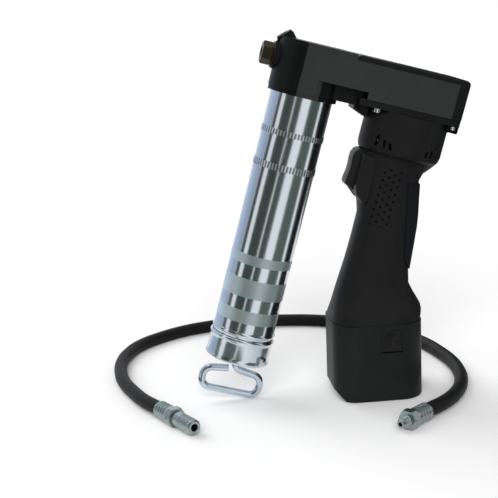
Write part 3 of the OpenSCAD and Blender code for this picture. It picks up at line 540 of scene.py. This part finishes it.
def hexagon(across_flats, z_low, z_high, turned_by=0.0):
    bm = bmesh.new()
    turn = Matrix.Translation((0, 0, (z_low + z_high) / 2)) @ Matrix.Rotation(turned_by, 4, "Z")
    bmesh.ops.create_cone(bm, cap_ends=True, segments=6, radius1=across_flats / math.sqrt(3),
                          radius2=across_flats / math.sqrt(3), depth=z_high - z_low, matrix=turn)
    across = across_flats / 2
    cone = turned([(0, z_low), (across * 1.02, z_low), (across * 1.16, z_low + 1.2),
                   (across * 1.16, z_high - 1.2), (across * 1.02, z_high), (0, z_high)], 48)
    return carve(bm, [cone], "INTERSECT")


inlet, outlet = hose_end(0, -1), hose_end(LAST, 1)
ferrule_in = settle("hose_ferrule_inlet_piece", turned(ferrule_outline(), 48), dull_zinc, "gun",
                    ["hose_ferrule_inlet"], inlet)
ferrule_out = settle("hose_ferrule_outlet_piece", turned(ferrule_outline(), 48), dull_zinc, "gun",
                     ["hose_ferrule_outlet"], outlet)
thread = [(2, 29), (5.2, 29)]
for k in range(6):
    thread += [(4.9, 30.2 + k * 1.2), (4.3, 30.8 + k * 1.2)]
thread += [(4.6, 38), (3.4, 40.4), (2, 40.5)]
nipple_shape = carve(hexagon(17, 22, 30), [turned(thread, 48)], "UNION")
nipple_shape = carve(nipple_shape, [rod(2, 20, Matrix.Translation((0, 0, 23)), 32)])
nipple = settle("hose_nipple_piece", nipple_shape, dull_zinc, "gun", ["hose_nipple"],
                inlet, 0.25)
ribs = [(3.5, 34), (3.5, 59.6), (5.4, 60), (6.4, 59.2)]
for k in range(7):
    z = 56.8 - 2.7 * k
    ribs += [(7, z + 0.9), (7, z - 0.4), (6.3, z - 0.8), (6.3, z - 1.4)]
ribs += [(7, 38), (7, 33), (6, 31.8), (6, 29), (3.5, 29)]
coupler_shape = carve(hexagon(17, 22, 30), [turned(ribs, 48)], "UNION")
coupler_shape = carve(coupler_shape, [rod(3.5, 28, Matrix.Translation((0, 0, 34)), 32)])
coupler = settle("hose_coupler_piece", coupler_shape, dull_zinc, "gun", ["hose_coupler"],
                 outlet, 0.25)

# %% [markdown]
# The head is a casting with a round nose over the barrel and a flat gear box behind. Its side
# view is sawn from a slab, its plan from a rounded slab, and what both have in common is the
# casting. Bosses are added, and deep notches cut under the sides, which lay bare the round barrel
# socket. Then the edges are broken, and the flat sides get the lighter copy of the enamel, which
# is painted light.

# %% Gear case
def plan_slab(rear, z_low, z_high, radius=32):
    bm = bmesh.new()
    first = bm.verts.new((0, radius, z_low))
    bmesh.ops.spin(bm, geom=[first], cent=(0, 0, 0), axis=(0, 0, 1), angle=math.pi, steps=48)
    bm.verts.ensure_lookup_table()
    ends = sorted((v for v in bm.verts if abs(v.co.x) < 1e-3), key=lambda v: v.co.y)
    back = [bm.verts.new((rear, y, z_low)) for y in (-radius, radius)]
    for a, b in ((ends[0], back[0]), (back[0], back[1]), (back[1], ends[1])):
        bm.edges.new((a, b))
    face = bmesh.ops.contextual_create(bm, geom=bm.edges[:])["faces"]
    top = bmesh.ops.extrude_face_region(bm, geom=face)["geom"]
    bmesh.ops.translate(bm, vec=(0, 0, z_high - z_low),
                        verts=[v for v in top if isinstance(v, bmesh.types.BMVert)])
    return bm


side = sawn([(-36, 0), (46, 0), (46, 8), (131, 8), (131, 39), (35, 39), (35, 44), (-36, 44)],
            -40, 40)
casting = carve(side, [plan_slab(131, -1, 45)], "INTERSECT")
RELIEF = Matrix.Translation((-27.5, 0, 44.4)) @ Matrix.Rotation(math.radians(-41), 4, "Y")
bosses = [rod(12.5, 24, along_x(-34, 26), 64),
          rod(8.2, 14, RELIEF @ Matrix.Translation((0, 0, -14)), 64)]
casting = carve(casting, [rod(31.5, 4.5, Matrix.Translation((0, 0, -4)), 96), *bosses], "UNION")
cuts = [rod(9.7, 12, RELIEF, 48), rod(28.7, 16, Matrix.Translation((0, 0, -5)), 96),
        rod(7.1, 16, along_x(-36, 26), 48),
        rod(4.1, 14, RELIEF @ Matrix.Translation((0, 0, -11)), 32)]
for s in (-1, 1):
    under = block((6, min(s * 20.5, s * 36), -6), (52, max(s * 20.5, s * 36), 14))
    cuts.append(carve(under, [rod(31.8, 24, Matrix.Translation((0, 0, -8)), 96)]))
    cuts.append(block((-10.8, s * 32 - 2.6, 14), (-9.9, s * 32 + 2.6, 46)))
casting = carve(casting, cuts)
casting.normal_update()
# painted light: faces turned square to the sides take the lighter copy of the enamel
for face in casting.faces:
    middle = face.calc_center_median()
    face.material_index = int(abs(face.normal.y) > 0.94 and middle.x > -9.9 and abs(middle.y) > 30)
case = settle("gear_case_casting", casting, head_enamel, "gun", ["gear_case"],
              edge_mm=0.7, steps=3)
case.data.materials.append(painted_lit_side_enamel)

# %% [markdown]
# The gear cover is a folded-looking casting: a top plate that turns down at the rear. Its long
# top edges are well rounded, so they are bevelled with five segments before the small edges.

# %% Gear cover and flange
bm = sawn([(35.2, 39.1), (131.2, 39.1), (131.2, 8), (140, 8), (140, 44), (35.2, 44)], -32, 32)
top_edges = [e for e in bm.edges if all(v.co.z > 43.9 for v in e.verts)
             and (all(abs(v.co.y) > 31.9 for v in e.verts) or all(v.co.x > 139 for v in e.verts))]
bmesh.ops.bevel(bm, geom=top_edges, offset=3.6, offset_type="OFFSET", segments=5, profile=0.5,
                affect="EDGES", material=-1)
seats = [rod(3, 4, Matrix.Translation((x, s * 26.5, 41.4)), 32)
         for x in (41, 83, 127) for s in (-1, 1)]
settle("gear_cover_casting", carve(bm, seats), cover_enamel, "gun", ["gear_cover"],
       edge_mm=0.5, steps=2)
plate = block((46.3, -31, 2), (140, 31, 8))
web = sawn([(46.3, 3), (46.3, -4), (58, -8.7), (60, -8.7), (60, 3)], -12, 12)
flange = carve(plate, [web], "UNION")
# a horseshoe lobe shields each rear screw head, open to the side and clear of the drum
DRUM_X, DRUM_R, LOBE_X, LOBE_Y = 99.5, 38.5, 135.5, 26.5
for s in (-1, 1):
    lobe = rod(5.8, 7.5, Matrix.Translation((LOBE_X, s * LOBE_Y, -5)), 48)
    low = [e for e in lobe.edges if all(v.co.z < -4.9 for v in e.verts)]
    bmesh.ops.bevel(lobe, geom=low, offset=3.2, offset_type="OFFSET", segments=5, profile=0.5,
                    affect="EDGES", material=-1)
    # cuts that touch or share a plane leave slits, so pocket and seat differ a little in size
    pocket = block((LOBE_X - 3.8, min(s * LOBE_Y, s * 40), -8),
                   (LOBE_X + 3.8, max(s * LOBE_Y, s * 40), 1.7))
    lobe = carve(lobe, [rod(DRUM_R + 0.6, 20, Matrix.Translation((DRUM_X, 0, -12)), 96), pocket,
                        rod(4, 9.5, Matrix.Translation((LOBE_X, s * LOBE_Y, -8)), 32),
                        block((139.9, -40, -8), (150, 40, 5))])
    flange = carve(flange, [lobe], "UNION")
bmesh.ops.remove_doubles(flange, verts=flange.verts, dist=0.02)
bmesh.ops.recalc_face_normals(flange, faces=flange.faces)
settle("mounting_flange_casting", flange, cover_enamel, "gun", ["mounting_flange"],
       edge_mm=0.6, steps=3)

# %% [markdown]
# At the nose sit the outlet hexagon on its copper washer and, aslant on the upper corner, the
# relief plug with its hexagon socket. Both are short turned or six-sided bars with a bore.

# %% Outlet fitting, washer and relief plug
nut = hexagon(18, 0, 9.5, math.pi / 6)
nut = carve(nut, [rod(7, 16.5, Matrix.Translation((0, 0, 8.5)), 48)], "UNION")
nut = carve(nut, [turned([(0, -0.1), (5.4, -0.1), (4.46, 0.9), (4.46, 10.5), (0, 10.5)], 48),
                  rod(2, 30, Matrix.Identity(4), 24)])
bmesh.ops.transform(nut, matrix=along_x(-45, 26), verts=nut.verts)
settle("outlet_hexagon", nut, black_steel, "gun", ["outlet_fitting"], edge_mm=0.25)
ring = turned([(7.1, 0.05), (11.2, 0.05), (11.5, 0.4), (11.5, 1.1), (11.2, 1.45), (7.1, 1.45)], 64)
bmesh.ops.transform(ring, matrix=along_x(-35.5, 26), verts=ring.verts)
settle("outlet_copper_washer", ring, copper, "gun", ["outlet_washer"])
plug = turned([(0, -10), (4, -10), (4, 0), (7.2, 0), (7.5, 0.3), (7.5, 1.8), (6.8, 2.5),
               (0, 2.5)], 64)
plug = carve(plug, [rod(3.2, 4, Matrix.Translation((0, 0, 0.5)), 6)])
bmesh.ops.transform(plug, matrix=RELIEF, verts=plug.verts)
settle("relief_plug_screw", plug, cover_enamel, "gun", ["relief_plug"], edge_mm=0.2)

# %% [markdown]
# The barrel and its end cap are turned. The tube carries two ribbed rings, where every other
# column of the turning is pressed back, and a rolled bead just above the cap. The pressed cap has
# a rolled lip at each end and a small welded catch.

# %% Barrel tube, end cap and rod bush
tube = [(26.9, 10), (28.3, 10), (28.5, 9.8)]
for centre, half in KNURLED:
    tube += [(28.5, centre + half + 0.4), (28.9, centre + half), (28.9, centre - half),
             (28.5, centre - half - 0.4)]
tube += [(28.5, -223.6), (28.9, -224.2), (29.5, -225.2), (29.65, -226), (29.5, -226.8),
         (28.9, -227.8), (28.5, -228.4), (28.5, -241.8), (28.3, -242), (26.9, -242)]
RIB_FOOT = 28.2
barrel = turned(tube, 2 * RIBS)
for v in barrel.verts:
    out = v.co.xy.length
    if out > TUBE_R + 0.1 and any(abs(v.co.z - centre) < half + 0.1 for centre, half in KNURLED):
        if round(math.atan2(v.co.y, v.co.x) * RIBS / math.pi) % 2:
            v.co.xy = v.co.xy * (RIB_FOOT / out)
settle("grease_barrel_tube", barrel, tube_zinc, "gun", ["barrel_tube"])
cap = [(7.05, -255), (26.5, -255), (28.4, -254.7), (29.6, -254), (30.2, -252.9), (30.2, -252.3),
       (29.8, -251.4), (29.4, -250.6), (29.25, -249), (29.25, -236), (29.4, -234.6), (29.8, -233.6),
       (30.2, -232.7), (30.2, -232), (29.9, -231.2), (29.3, -230.5), (28.7, -230.4), (28.7, -242),
       (26.9, -242), (26.9, -252), (7.05, -252)]
settle("barrel_end_cap", turned(cap, 128), cap_zinc, "gun", ["end_cap"])
catch = block((-4, -32.6, -253), (4, -28.9, -244.5))
bmesh.ops.bevel(catch, geom=catch.edges[:], offset=1.1, offset_type="OFFSET", segments=3,
                profile=0.5, affect="EDGES", material=-1)
bmesh.ops.rotate(catch, cent=(0, 0, 0), matrix=Matrix.Rotation(math.radians(40), 3, "Z"),
                 verts=catch.verts)
settle("end_cap_catch", catch, cap_zinc, "gun")
bush = turned([(3.55, -255), (6.3, -255), (7, -254.4), (7, -250.4), (6.4, -250), (3.55, -250)], 48)
settle("rod_bush_ring", bush, inner_plastic, "gun", ["rod_bush"])

# %% [markdown]
# The pull rod is one bent wire: down the middle of the barrel, round the loop and back to a free
# end beside the rod. A curve with a round bevel is the natural tool, since the wire has one
# thickness everywhere; each bend is a run of points on its arc.

# %% Pull rod and loop
WIRE_R, BEND, SIDE, SHOULDER, LOW, THROAT, SLOPE = 3.5, 8.5, 27.5, -267, -288.5, 7.5, 8


def arc(cx, cz, radius, start, end, count=10):
    steps = [math.radians(start + (end - start) * k / count) for k in range(count + 1)]
    return [(cx + radius * math.cos(a), cz + radius * math.sin(a)) for a in steps]


neck, corner = SHOULDER + THROAT, SHOULDER - BEND - 1.8
wire = [(0, -3.2), (0, -120)]
wire += arc(THROAT, neck, THROAT, 180, 270 - SLOPE)
wire += arc(SIDE - BEND, corner, BEND, 90 - SLOPE, 0)
wire += arc(SIDE - BEND, LOW + BEND, BEND, 0, -90)
wire += arc(-(SIDE - BEND), LOW + BEND, BEND, 270, 180)
wire += arc(-(SIDE - BEND), corner, BEND, 180, 90 + SLOPE)
wire += [(-5.2, SHOULDER + 0.2)]
bent = bpy.data.curves.new("pull_rod_and_loop", "CURVE")
bent.dimensions, bent.use_fill_caps = "3D", True
bent.bevel_depth, bent.bevel_resolution = WIRE_R / 1000, 8
spline = bent.splines.new("POLY")
spline.points.add(len(wire) - 1)
for knot, (x, z) in zip(spline.points, wire):
    knot.co = (*(GUN @ Vector((x, 0, z))), 1)
bent.materials.append(wire_zinc)
for s in bent.splines:
    s.use_smooth = True
pull = bpy.data.objects.new("pull_rod_and_loop", bent)
bpy.context.scene.collection.objects.link(pull)
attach(pull, "rod")
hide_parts("plunger_rod")
collar = turned([(3.4, -7), (6.7, -7), (7, -6.7), (7, -4.3), (6.7, -4), (3.4, -4)], 48)
settle("rod_stop_collar", collar, steel, "rod")

# %% [markdown]
# The grip is a loft. Each section is a circle pushed out to a rounded square and set at its
# height, the last ones leaning to meet the level battery; bridging the rings makes the skin. The
# two halves are the same loft split along the middle, so the parting line is a real gap.

# %% Grip loft
FOOT_X, BATT_W = 116.5, 84
FOOT_Z = (-HEAD_AT.x * math.sin(TILT) - (HEAD_AT.z - 0.073) * math.cos(TILT)) * 1000
HALF_FOOT = BATT_W / 2 * math.cos(TILT)
SECTIONS = ((2, 61, 138, 38.5, 2, 0), (-30, 61, 138, 38.5, 2, 0), (-33.6, 61.7, 137.2, 37.7, 2, 0),
            (-35.8, 62.6, 136, 35.6, 2.05, 0), (-37.2, 63.2, 135.2, 29.6, 2.2, 0),
            (-42, 64, 131, 28, 2.35, 0), (-47, 64, 126, 27, 2.5, 0),
            (-54, 64, 124, 26, 2.6, 0), (-68, 64.4, 127, 24.5, 2.6, 0),
            (-76, 65.5, 128.8, 24, 2.6, 0),
            (-84, 73.5, 130.5, 23.5, 2.6, 0), (-96, 77.2, 132.5, 23, 2.6, 0),
            (-118, 77.4, 134.6, 23, 2.6, 0.1), (-138, 77, 136.2, 23.5, 2.6, 0.3),
            (-154, 76, 140, 24.4, 2.7, 0.55), (-164, 75.5, 146.4, 25.4, 2.85, 0.75),
            (-171, 75.5, 151.5, 27.6, 2.95, 0.89), (-176, 75.8, 154.9, 31.6, 3.1, 0.97),
            (-180.5, 76, 156.3, 36, 3.2, 1), (-184, 76, 156.7, 37.7, 3.3, 1),
            (FOOT_Z + 0.3, FOOT_X - HALF_FOOT, FOOT_X + HALF_FOOT, 38, 3.4, 1))


def ring_at(bm, section, grow, sides=72):
    z, front, rear, half, square, lean = section
    ring = bmesh.ops.create_circle(bm, segments=sides, radius=1)["verts"]
    middle, slope = (front + rear) / 2, math.tan(TILT) * lean
    for v in ring:
        c, s = v.co.x, v.co.y
        x = math.copysign(abs(c) ** (2 / square), c) * ((rear - front) / 2 + grow)
        y = math.copysign(abs(s) ** (2 / square), s) * (half + grow)
        v.co = (middle + x, y, z + slope * x)
    return [e for e in bm.edges if e.verts[0] in ring and e.verts[1] in ring]


def grip_loft(first, last, grow=0.0):
    bm = bmesh.new()
    rings = [ring_at(bm, s, grow) for s in SECTIONS[first:last + 1]]
    for low, high in zip(rings, rings[1:]):
        bmesh.ops.bridge_loops(bm, edges=low + high)
    bmesh.ops.recalc_face_normals(bm, faces=bm.faces)
    return bm


def slice_off(bm, point, normal):
    bmesh.ops.bisect_plane(bm, geom=bm.verts[:] + bm.edges[:] + bm.faces[:], plane_co=point,
                           plane_no=normal, clear_outer=True, dist=0.0001)


def score(bm, point, normal):
    bmesh.ops.bisect_plane(bm, geom=bm.verts[:] + bm.edges[:] + bm.faces[:], plane_co=point,
                           plane_no=normal, dist=0.0001)


print("grip sections:", len(SECTIONS), "foot at", round(FOOT_Z, 1), "mm")

# %% [markdown]
# A half gets the trigger's slot opened, a wall turned inwards and the raised pointed panel beside
# the trigger. Then come its cuts: three slanted cooling slots at each end of the drum, and the
# field of round dimples, one ball sunk a little way into the skin for each.

# %% Handle halves
def slot_cut(a, b, width, side, depth=60):
    (ax, az), (bx, bz) = a, b
    d = Vector((bx - ax, bz - az)).normalized() * (width / 2)
    n = Vector((-d.y, d.x))
    low, high = (-depth, -10) if side < 0 else (10, depth)
    return sawn([(ax + n.x - d.x, az + n.y - d.y), (bx + n.x + d.x, bz + n.y + d.y),
                 (bx - n.x + d.x, bz - n.y + d.y), (ax - n.x - d.x, az - n.y - d.y)], low, high)


VENTS = (((72, -21.3), (71.3, -29)), ((77.3, -24.5), (77.6, -29.6)), ((82, -26), (83, -29.8)),
         ((127, -21.3), (126.7, -29)), ((121.7, -24.5), (121.5, -29.6)), ((117, -26), (116, -29.8)))


def skin(x, z):
    low, high = next((b, a) for a, b in zip(SECTIONS, SECTIONS[1:]) if b[0] <= z <= a[0])
    t = (z - low[0]) / (high[0] - low[0])
    _, front, rear, half, square, _ = (a + (b - a) * t for a, b in zip(low, high))
    return half * (1 - abs((2 * x - front - rear) / (rear - front)) ** square) ** (1 / square)


def dimples(side, ball=1.6, sunk=0.8):
    bm = bmesh.new()
    for column in range(4):
        x = (DOT_START + (column + 0.5) * DOT_ACROSS) * 1000
        for row in range(8):
            z = -(45.5 + 3.5 * (column % 2) + 7 * row)
            if z < -46:
                place = Matrix.Translation((x, side * (skin(x, z) + ball - sunk), z))
                bmesh.ops.create_uvsphere(bm, u_segments=12, v_segments=8, radius=ball,
                                          matrix=place)
    return bm


def handle_half(side):
    bm = grip_loft(0, len(SECTIONS) - 1)
    for y in (-11.3, 11.3):
        score(bm, (0, y, 0), (0, 1, 0))
    for z in (-36, -76):
        score(bm, (0, 0, z), (0, 0, 1))
    open_faces = [f for f in bm.faces if f.calc_center_median().x < 78
                  and abs(f.calc_center_median().y) < 11.3 and -76 < f.calc_center_median().z < -36]
    bmesh.ops.delete(bm, geom=open_faces, context="FACES")
    slice_off(bm, (0, side * 0.12, 0), (0, -side, 0))
    bmesh.ops.recalc_face_normals(bm, faces=bm.faces)
    bmesh.ops.solidify(bm, geom=bm.faces[:], thickness=2.6)
    cheek = sawn([(64.4, -40), (76, -42.6), (77.8, -80.5), (74, -84), (66.5, -77.5), (64.4, -72)],
                 *sorted((side * 12, side * 23.6)))
    bm = carve(bm, [cheek], "UNION")
    return carve(bm, [slot_cut(a, b, 2.2, side) for a, b in VENTS] + [dimples(side)])


for side, name in ((-1, "near"), (1, "far")):
    settle(f"handle_shell_{name}", handle_half(side), grip_nylon, "gun", [f"handle_{name}_half"],
           sharp=42)

# %% [markdown]
# The soft backstrap is the same loft grown by its own thickness and cut to the strap's outline,
# so it hugs the palm side exactly. Its rim is rounded by a bevel.

# %% Backstrap
strap = grip_loft(6, 15, 1.4)
for point, away in (((110.5, 0, -57), (-0.974, 0, -0.225)), ((0, 0, -57), (0, 0, 1)),
                    ((128, 0, -128.5), (-0.64, 0, -0.77))):
    slice_off(strap, point, away)
bmesh.ops.recalc_face_normals(strap, faces=strap.faces)
bmesh.ops.solidify(strap, geom=strap.faces[:], thickness=1.3)
settle("grip_backstrap_skin", strap, strap_rubber, "gun", ["grip_backstrap"],
       edge_mm=0.5, sharp=42)

# %% [markdown]
# The trigger is a broad blade for two fingers, slightly hollow along its face and with a small
# hook at its foot. Its side view is sawn and all its long edges are rounded for the finger.

# %% Trigger
blade = sawn([(70, -38.5), (63, -37.5), (59.8, -39.6), (58, -43.4), (57.6, -48), (58, -54),
              (57.9, -60), (56.9, -67), (56.7, -70.4), (57.8, -72.6), (62, -73.6), (64, -72),
              (70, -71)], -11, 11)
rims = [e for e in blade.edges if all(v.co.x < 66 for v in e.verts)
        and abs(e.verts[0].co.y - e.verts[1].co.y) < 1e-3]
bmesh.ops.bevel(blade, geom=rims, offset=2.4, offset_type="OFFSET", segments=4, profile=0.5,
                affect="EDGES", material=-1)
settle("trigger_blade", blade, trigger_nylon, "trigger", ["trigger"], sharp=50)

# %% [markdown]
# The battery is a deep box moulding: a cube with its four upright edges rounded to a wide radius,
# its foot softened and its lower front edge planed off at 45 degrees. Each side has a window for
# a release button, whose face is dished for the thumb.

# %% Battery shell and buttons
def battery_box(z_low, z_high, foot=0.0):
    bm = block((-42, -38, z_low), (42, 38, z_high))
    upright = [e for e in bm.edges if abs(e.verts[0].co.z - e.verts[1].co.z) > 1]
    bmesh.ops.bevel(bm, geom=upright, offset=22, offset_type="OFFSET", segments=14, profile=0.5,
                    affect="EDGES", material=-1)
    if foot:
        low = [e for e in bm.edges if all(v.co.z < z_low + 0.01 for v in e.verts)]
        bmesh.ops.bevel(bm, geom=low, offset=foot, offset_type="OFFSET", segments=4, profile=0.5,
                        affect="EDGES", material=-1)
    return bm


def button_windows(gap, slot, depth):
    return [block((0.5 - gap, s * 38 - depth, 48 - slot), (19.5 + gap, s * 38 + depth, 68 + gap))
            for s in (-1, 1)]


shell = battery_box(0, 73, 2.2)
bmesh.ops.bisect_plane(shell, geom=shell.verts[:] + shell.edges[:] + shell.faces[:],
                       plane_co=(-32, 0, 0), plane_no=(-1, 0, -1), clear_outer=True)
bmesh.ops.holes_fill(shell, edges=[e for e in shell.edges if e.is_boundary])
shell = carve(shell, [block((-17, -15, 72), (17, 15, 123))], "UNION")
shell = carve(shell, [block((-34, -27, 2.5), (34, 27, 67)), *button_windows(0.2, 1.5, 9)])
settle("battery_shell", shell, battery_abs, "battery", ["battery_case", "battery_top"],
       FLOOR, edge_mm=0.5, sharp=40)
for s, name in ((-1, "near"), (1, "far")):
    key = block((0.5, min(s * 33.5, s * 37.9), 48), (19.5, max(s * 33.5, s * 37.9), 68))
    dish = bmesh.new()
    bmesh.ops.create_uvsphere(dish, u_segments=48, v_segments=24, radius=10.5,
                              matrix=Matrix.Translation((10, s * 45.7, 59)))
    settle(f"release_key_{name}", carve(key, [dish]), button_abs, f"button_{name}",
           [f"release_button_{name}"], FLOOR, edge_mm=0.6, sharp=40)

# %% [markdown]
# Inner pieces keep their solids, which are already right, and take the finish of their material
# slot. Screws too: their heads and sockets are true in the solids.

# %% Finishes for the solids that stay
FINISH = {"head_paint": head_enamel, "cover_paint": cover_enamel, "dark_steel": black_steel,
          "copper_washer": copper, "bright_steel": steel, "zinc_screws": screw_zinc,
          "black_rubber": seal_rubber, "bright_zinc": cap_zinc, "rod_bush_nylon": inner_plastic,
          "handle_plastic": grip_nylon, "trigger_plastic": trigger_nylon,
          "grip_rubber": strap_rubber, "switch_plastic": inner_plastic,
          "motor_steel": can_steel, "ferrite": ferrite,
          "rotor_copper": winding, "bronze": bronze, "battery_plastic": battery_abs,
          "button_plastic": button_abs, "cell_sleeve": cell_film, "contact_brass": brass,
          "hose_rubber": hose_rubber, "fitting_zinc": dull_zinc}
for part in frame["record"]["subparts"]:
    solid = frame["nodes"][part["node"]]
    solid.data.materials.clear()
    solid.data.materials.append(FINISH[part["material_slot"]])

# %% [markdown]
# A coil spring shortens when what it pushes comes back at it. A solid can't, so each pressed
# spring gets a copy of its solid with a mesh of its own, on the solid's body, and the solid is
# hidden. The copy keeps the solid's length: its ends along the joint's axis are found but not used.

# %% Copies of the pressed springs
def spring(node, joint):
    solid, axis = frame["nodes"][node], Vector(joint["axis"])
    coil = bmesh.new()
    coil.from_mesh(solid.data)
    bmesh.ops.transform(coil, matrix=solid.matrix_world, verts=coil.verts)
    bmesh.ops.remove_doubles(coil, verts=coil.verts, dist=1e-6)
    bmesh.ops.recalc_face_normals(coil, faces=coil.faces)
    ends = [extreme(v.co.dot(axis) for v in coil.verts) for extreme in (min, max)]
    made = settle(f"{node}_coil", coil, steel, solid["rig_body"], [node],
                  Matrix.Identity(4))
    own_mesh(made)


PRESSED = {"trigger_press": "trigger_spring", "check_ball_lift": "valve_spring",
           "follower_slide": "follower_spring", "release_button_near_press": "button_spring_near",
           "release_button_far_press": "button_spring_far"}
for joint in frame["joints"]:
    if joint["name"] in PRESSED:
        spring(PRESSED[joint["name"]], joint)

# %% [markdown]
# The stage is a plain white sweep: a wide paper floor under a white surround, which is full white
# to the camera and in reflections and about half as strong as a light. One broad sun from behind
# on the left lays a soft shadow to the lower right. A second, lower sun in front lights the faces
# that are turned to the camera, and the paper throws only part of its light back up.

# %% Floor, surround and light
floor_mesh = bpy.data.meshes.new("studio_floor")
bm = bmesh.new()
bmesh.ops.create_grid(bm, x_segments=1, y_segments=1, size=8)
bm.to_mesh(floor_mesh)
bm.free()
paper = finish("white_studio_paper", "#f6f6f6", "#fafafa", (0.85, 0.95), (300, 100, 2), 0.02,
               IOR=1.3)
tree = paper.node_tree
bounce = add(tree, "LightPath").outputs["Is Diffuse Ray"]
colour = add(tree, "Mix", {0: bounce, 6: tree.nodes["Mix"], 7: lin("#808080")}, data_type="RGBA")
tree.links.new(colour.outputs[2], tree.nodes["Principled BSDF"].inputs["Base Color"])
floor_mesh.materials.append(paper)
floor = bpy.data.objects.new("studio_floor", floor_mesh)
bpy.context.scene.collection.objects.link(floor)
floor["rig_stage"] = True
world = bpy.data.worlds.new("white_surround")
bpy.context.scene.world = world
world.use_nodes = True
tree = world.node_tree
tree.nodes.clear()
ray = add(tree, "LightPath").outputs
seen = add(tree, "Math", {0: ray["Is Camera Ray"], 1: ray["Is Glossy Ray"]}, operation="MAXIMUM")
seen = add(tree, "Math", {0: seen, 1: ray["Is Transmission Ray"]}, operation="MAXIMUM")
AS_LIGHT, AS_SEEN = 0.48, 1.0
level = add(tree, "MapRange", {0: seen, 3: AS_LIGHT, 4: AS_SEEN})
glow = add(tree, "Background", {"Color": (1, 1, 1, 1), "Strength": level})
add(tree, "OutputWorld", {"Surface": glow})
SUNS = {"broad_sun": (1.4, 50, (-0.55, 0.45, 0.65)), "front_sun": (2.0, 40, (-0.15, -0.85, 0.5))}
for name, (energy, spread, way) in SUNS.items():
    sun = bpy.data.lights.new(name, "SUN")
    sun.energy, sun.angle = energy, math.radians(spread)
    lamp = bpy.data.objects.new(name, sun)
    lamp.matrix_world = Vector(way).to_track_quat("Z", "Y").to_matrix().to_4x4()
    # on bright metal the front sun would only show as a blotch
    lamp.visible_glossy = name != "front_sun"
    bpy.context.scene.collection.objects.link(lamp)
print("floor and surround, with suns:", *SUNS)

# %% [markdown]
# Bright metal only looks bright with something dark to mirror, so grey-green felt flags stand in
# front, as a product photographer sets them, with one beside the grip and a wall behind on the
# right. A pale blue card, which glows a little by itself as painted light, stands on the left.
# Only reflections see them: the gaps between them are the white streaks along the barrel.

# %% Felt flags seen only in reflections
# painted light: the card glows by its own emission, standing in for light from behind
pale = finish("pale_blue_card_painted_glow", "#d6e4ff", "#deeaff", (0.8, 0.9), (60, 20, 2), 0.05,
              **{"Emission Color": lin("#c4d4f4"), "Emission Strength": 0.14})
felt = finish("grey_green_felt", "#535e58", "#5f6a63", (0.8, 0.9), (60, 20, 2), 0.2)
BARREL_X, GRIP_X = -0.11, 0.05
ROUND_BARREL = ((0.2, 0.003), (0.5, 0.12), (0.55, 0.9))
BESIDE_GRIP = ((0.13, 0.003), (0.13, 0.4))
WALL = ((0.5, 0.003), (0.5, 0.9))
# each flag: the place it curves round, its profile, and its reach in degrees right of the view
FLAGS = [(BARREL_X, ROUND_BARREL, span) for span in ((-90, -74), (-57, -19), (-15, 8), (36, 74))]
FLAGS += [(GRIP_X, BESIDE_GRIP, (70, 140)), (BARREL_X, WALL, (106, 156))]


def flag(name, bm, material, place):
    bmesh.ops.transform(bm, matrix=place, verts=bm.verts)
    mesh = bpy.data.meshes.new(name)
    bm.to_mesh(mesh)
    bm.free()
    mesh.materials.append(material)
    made = bpy.data.objects.new(name, mesh)
    made.visible_camera = made.visible_diffuse = made.visible_shadow = False
    made.visible_transmission = False
    bpy.context.scene.collection.objects.link(made)
    made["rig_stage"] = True


def swept(points, span):
    bm = bmesh.new()
    foot, turn = math.radians(span[0] + VIEW_TURN), math.radians(span[1] - span[0])
    rim = [bm.verts.new((r * math.sin(foot), -r * math.cos(foot), z)) for r, z in points]
    edges = [bm.edges.new(pair) for pair in zip(rim, rim[1:])]
    bmesh.ops.spin(bm, geom=rim + edges, cent=(0, 0, 0), axis=(0, 0, 1), angle=turn, steps=12)
    return bm


for k, (x, points, span) in enumerate(FLAGS):
    flag(f"felt_flag_{k}", swept(points, span), felt, Matrix.Translation((x, 0, 0)))
flag("pale_card", swept(WALL, (-155, -92)), pale, Matrix.Translation((BARREL_X, 0, 0)))
bpy.context.scene.view_settings.view_transform = "Standard"
print("stage lit, with", len(FLAGS) + 1, "flags")

# %% [markdown]
# Last, the box of the dressed gun is measured, with the stage left out, and its spans are
# printed.

# %% Size of the dressed gun
bpy.context.view_layer.update()
low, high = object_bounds()
print("visual spans", [round(v, 3) for v in high - low])
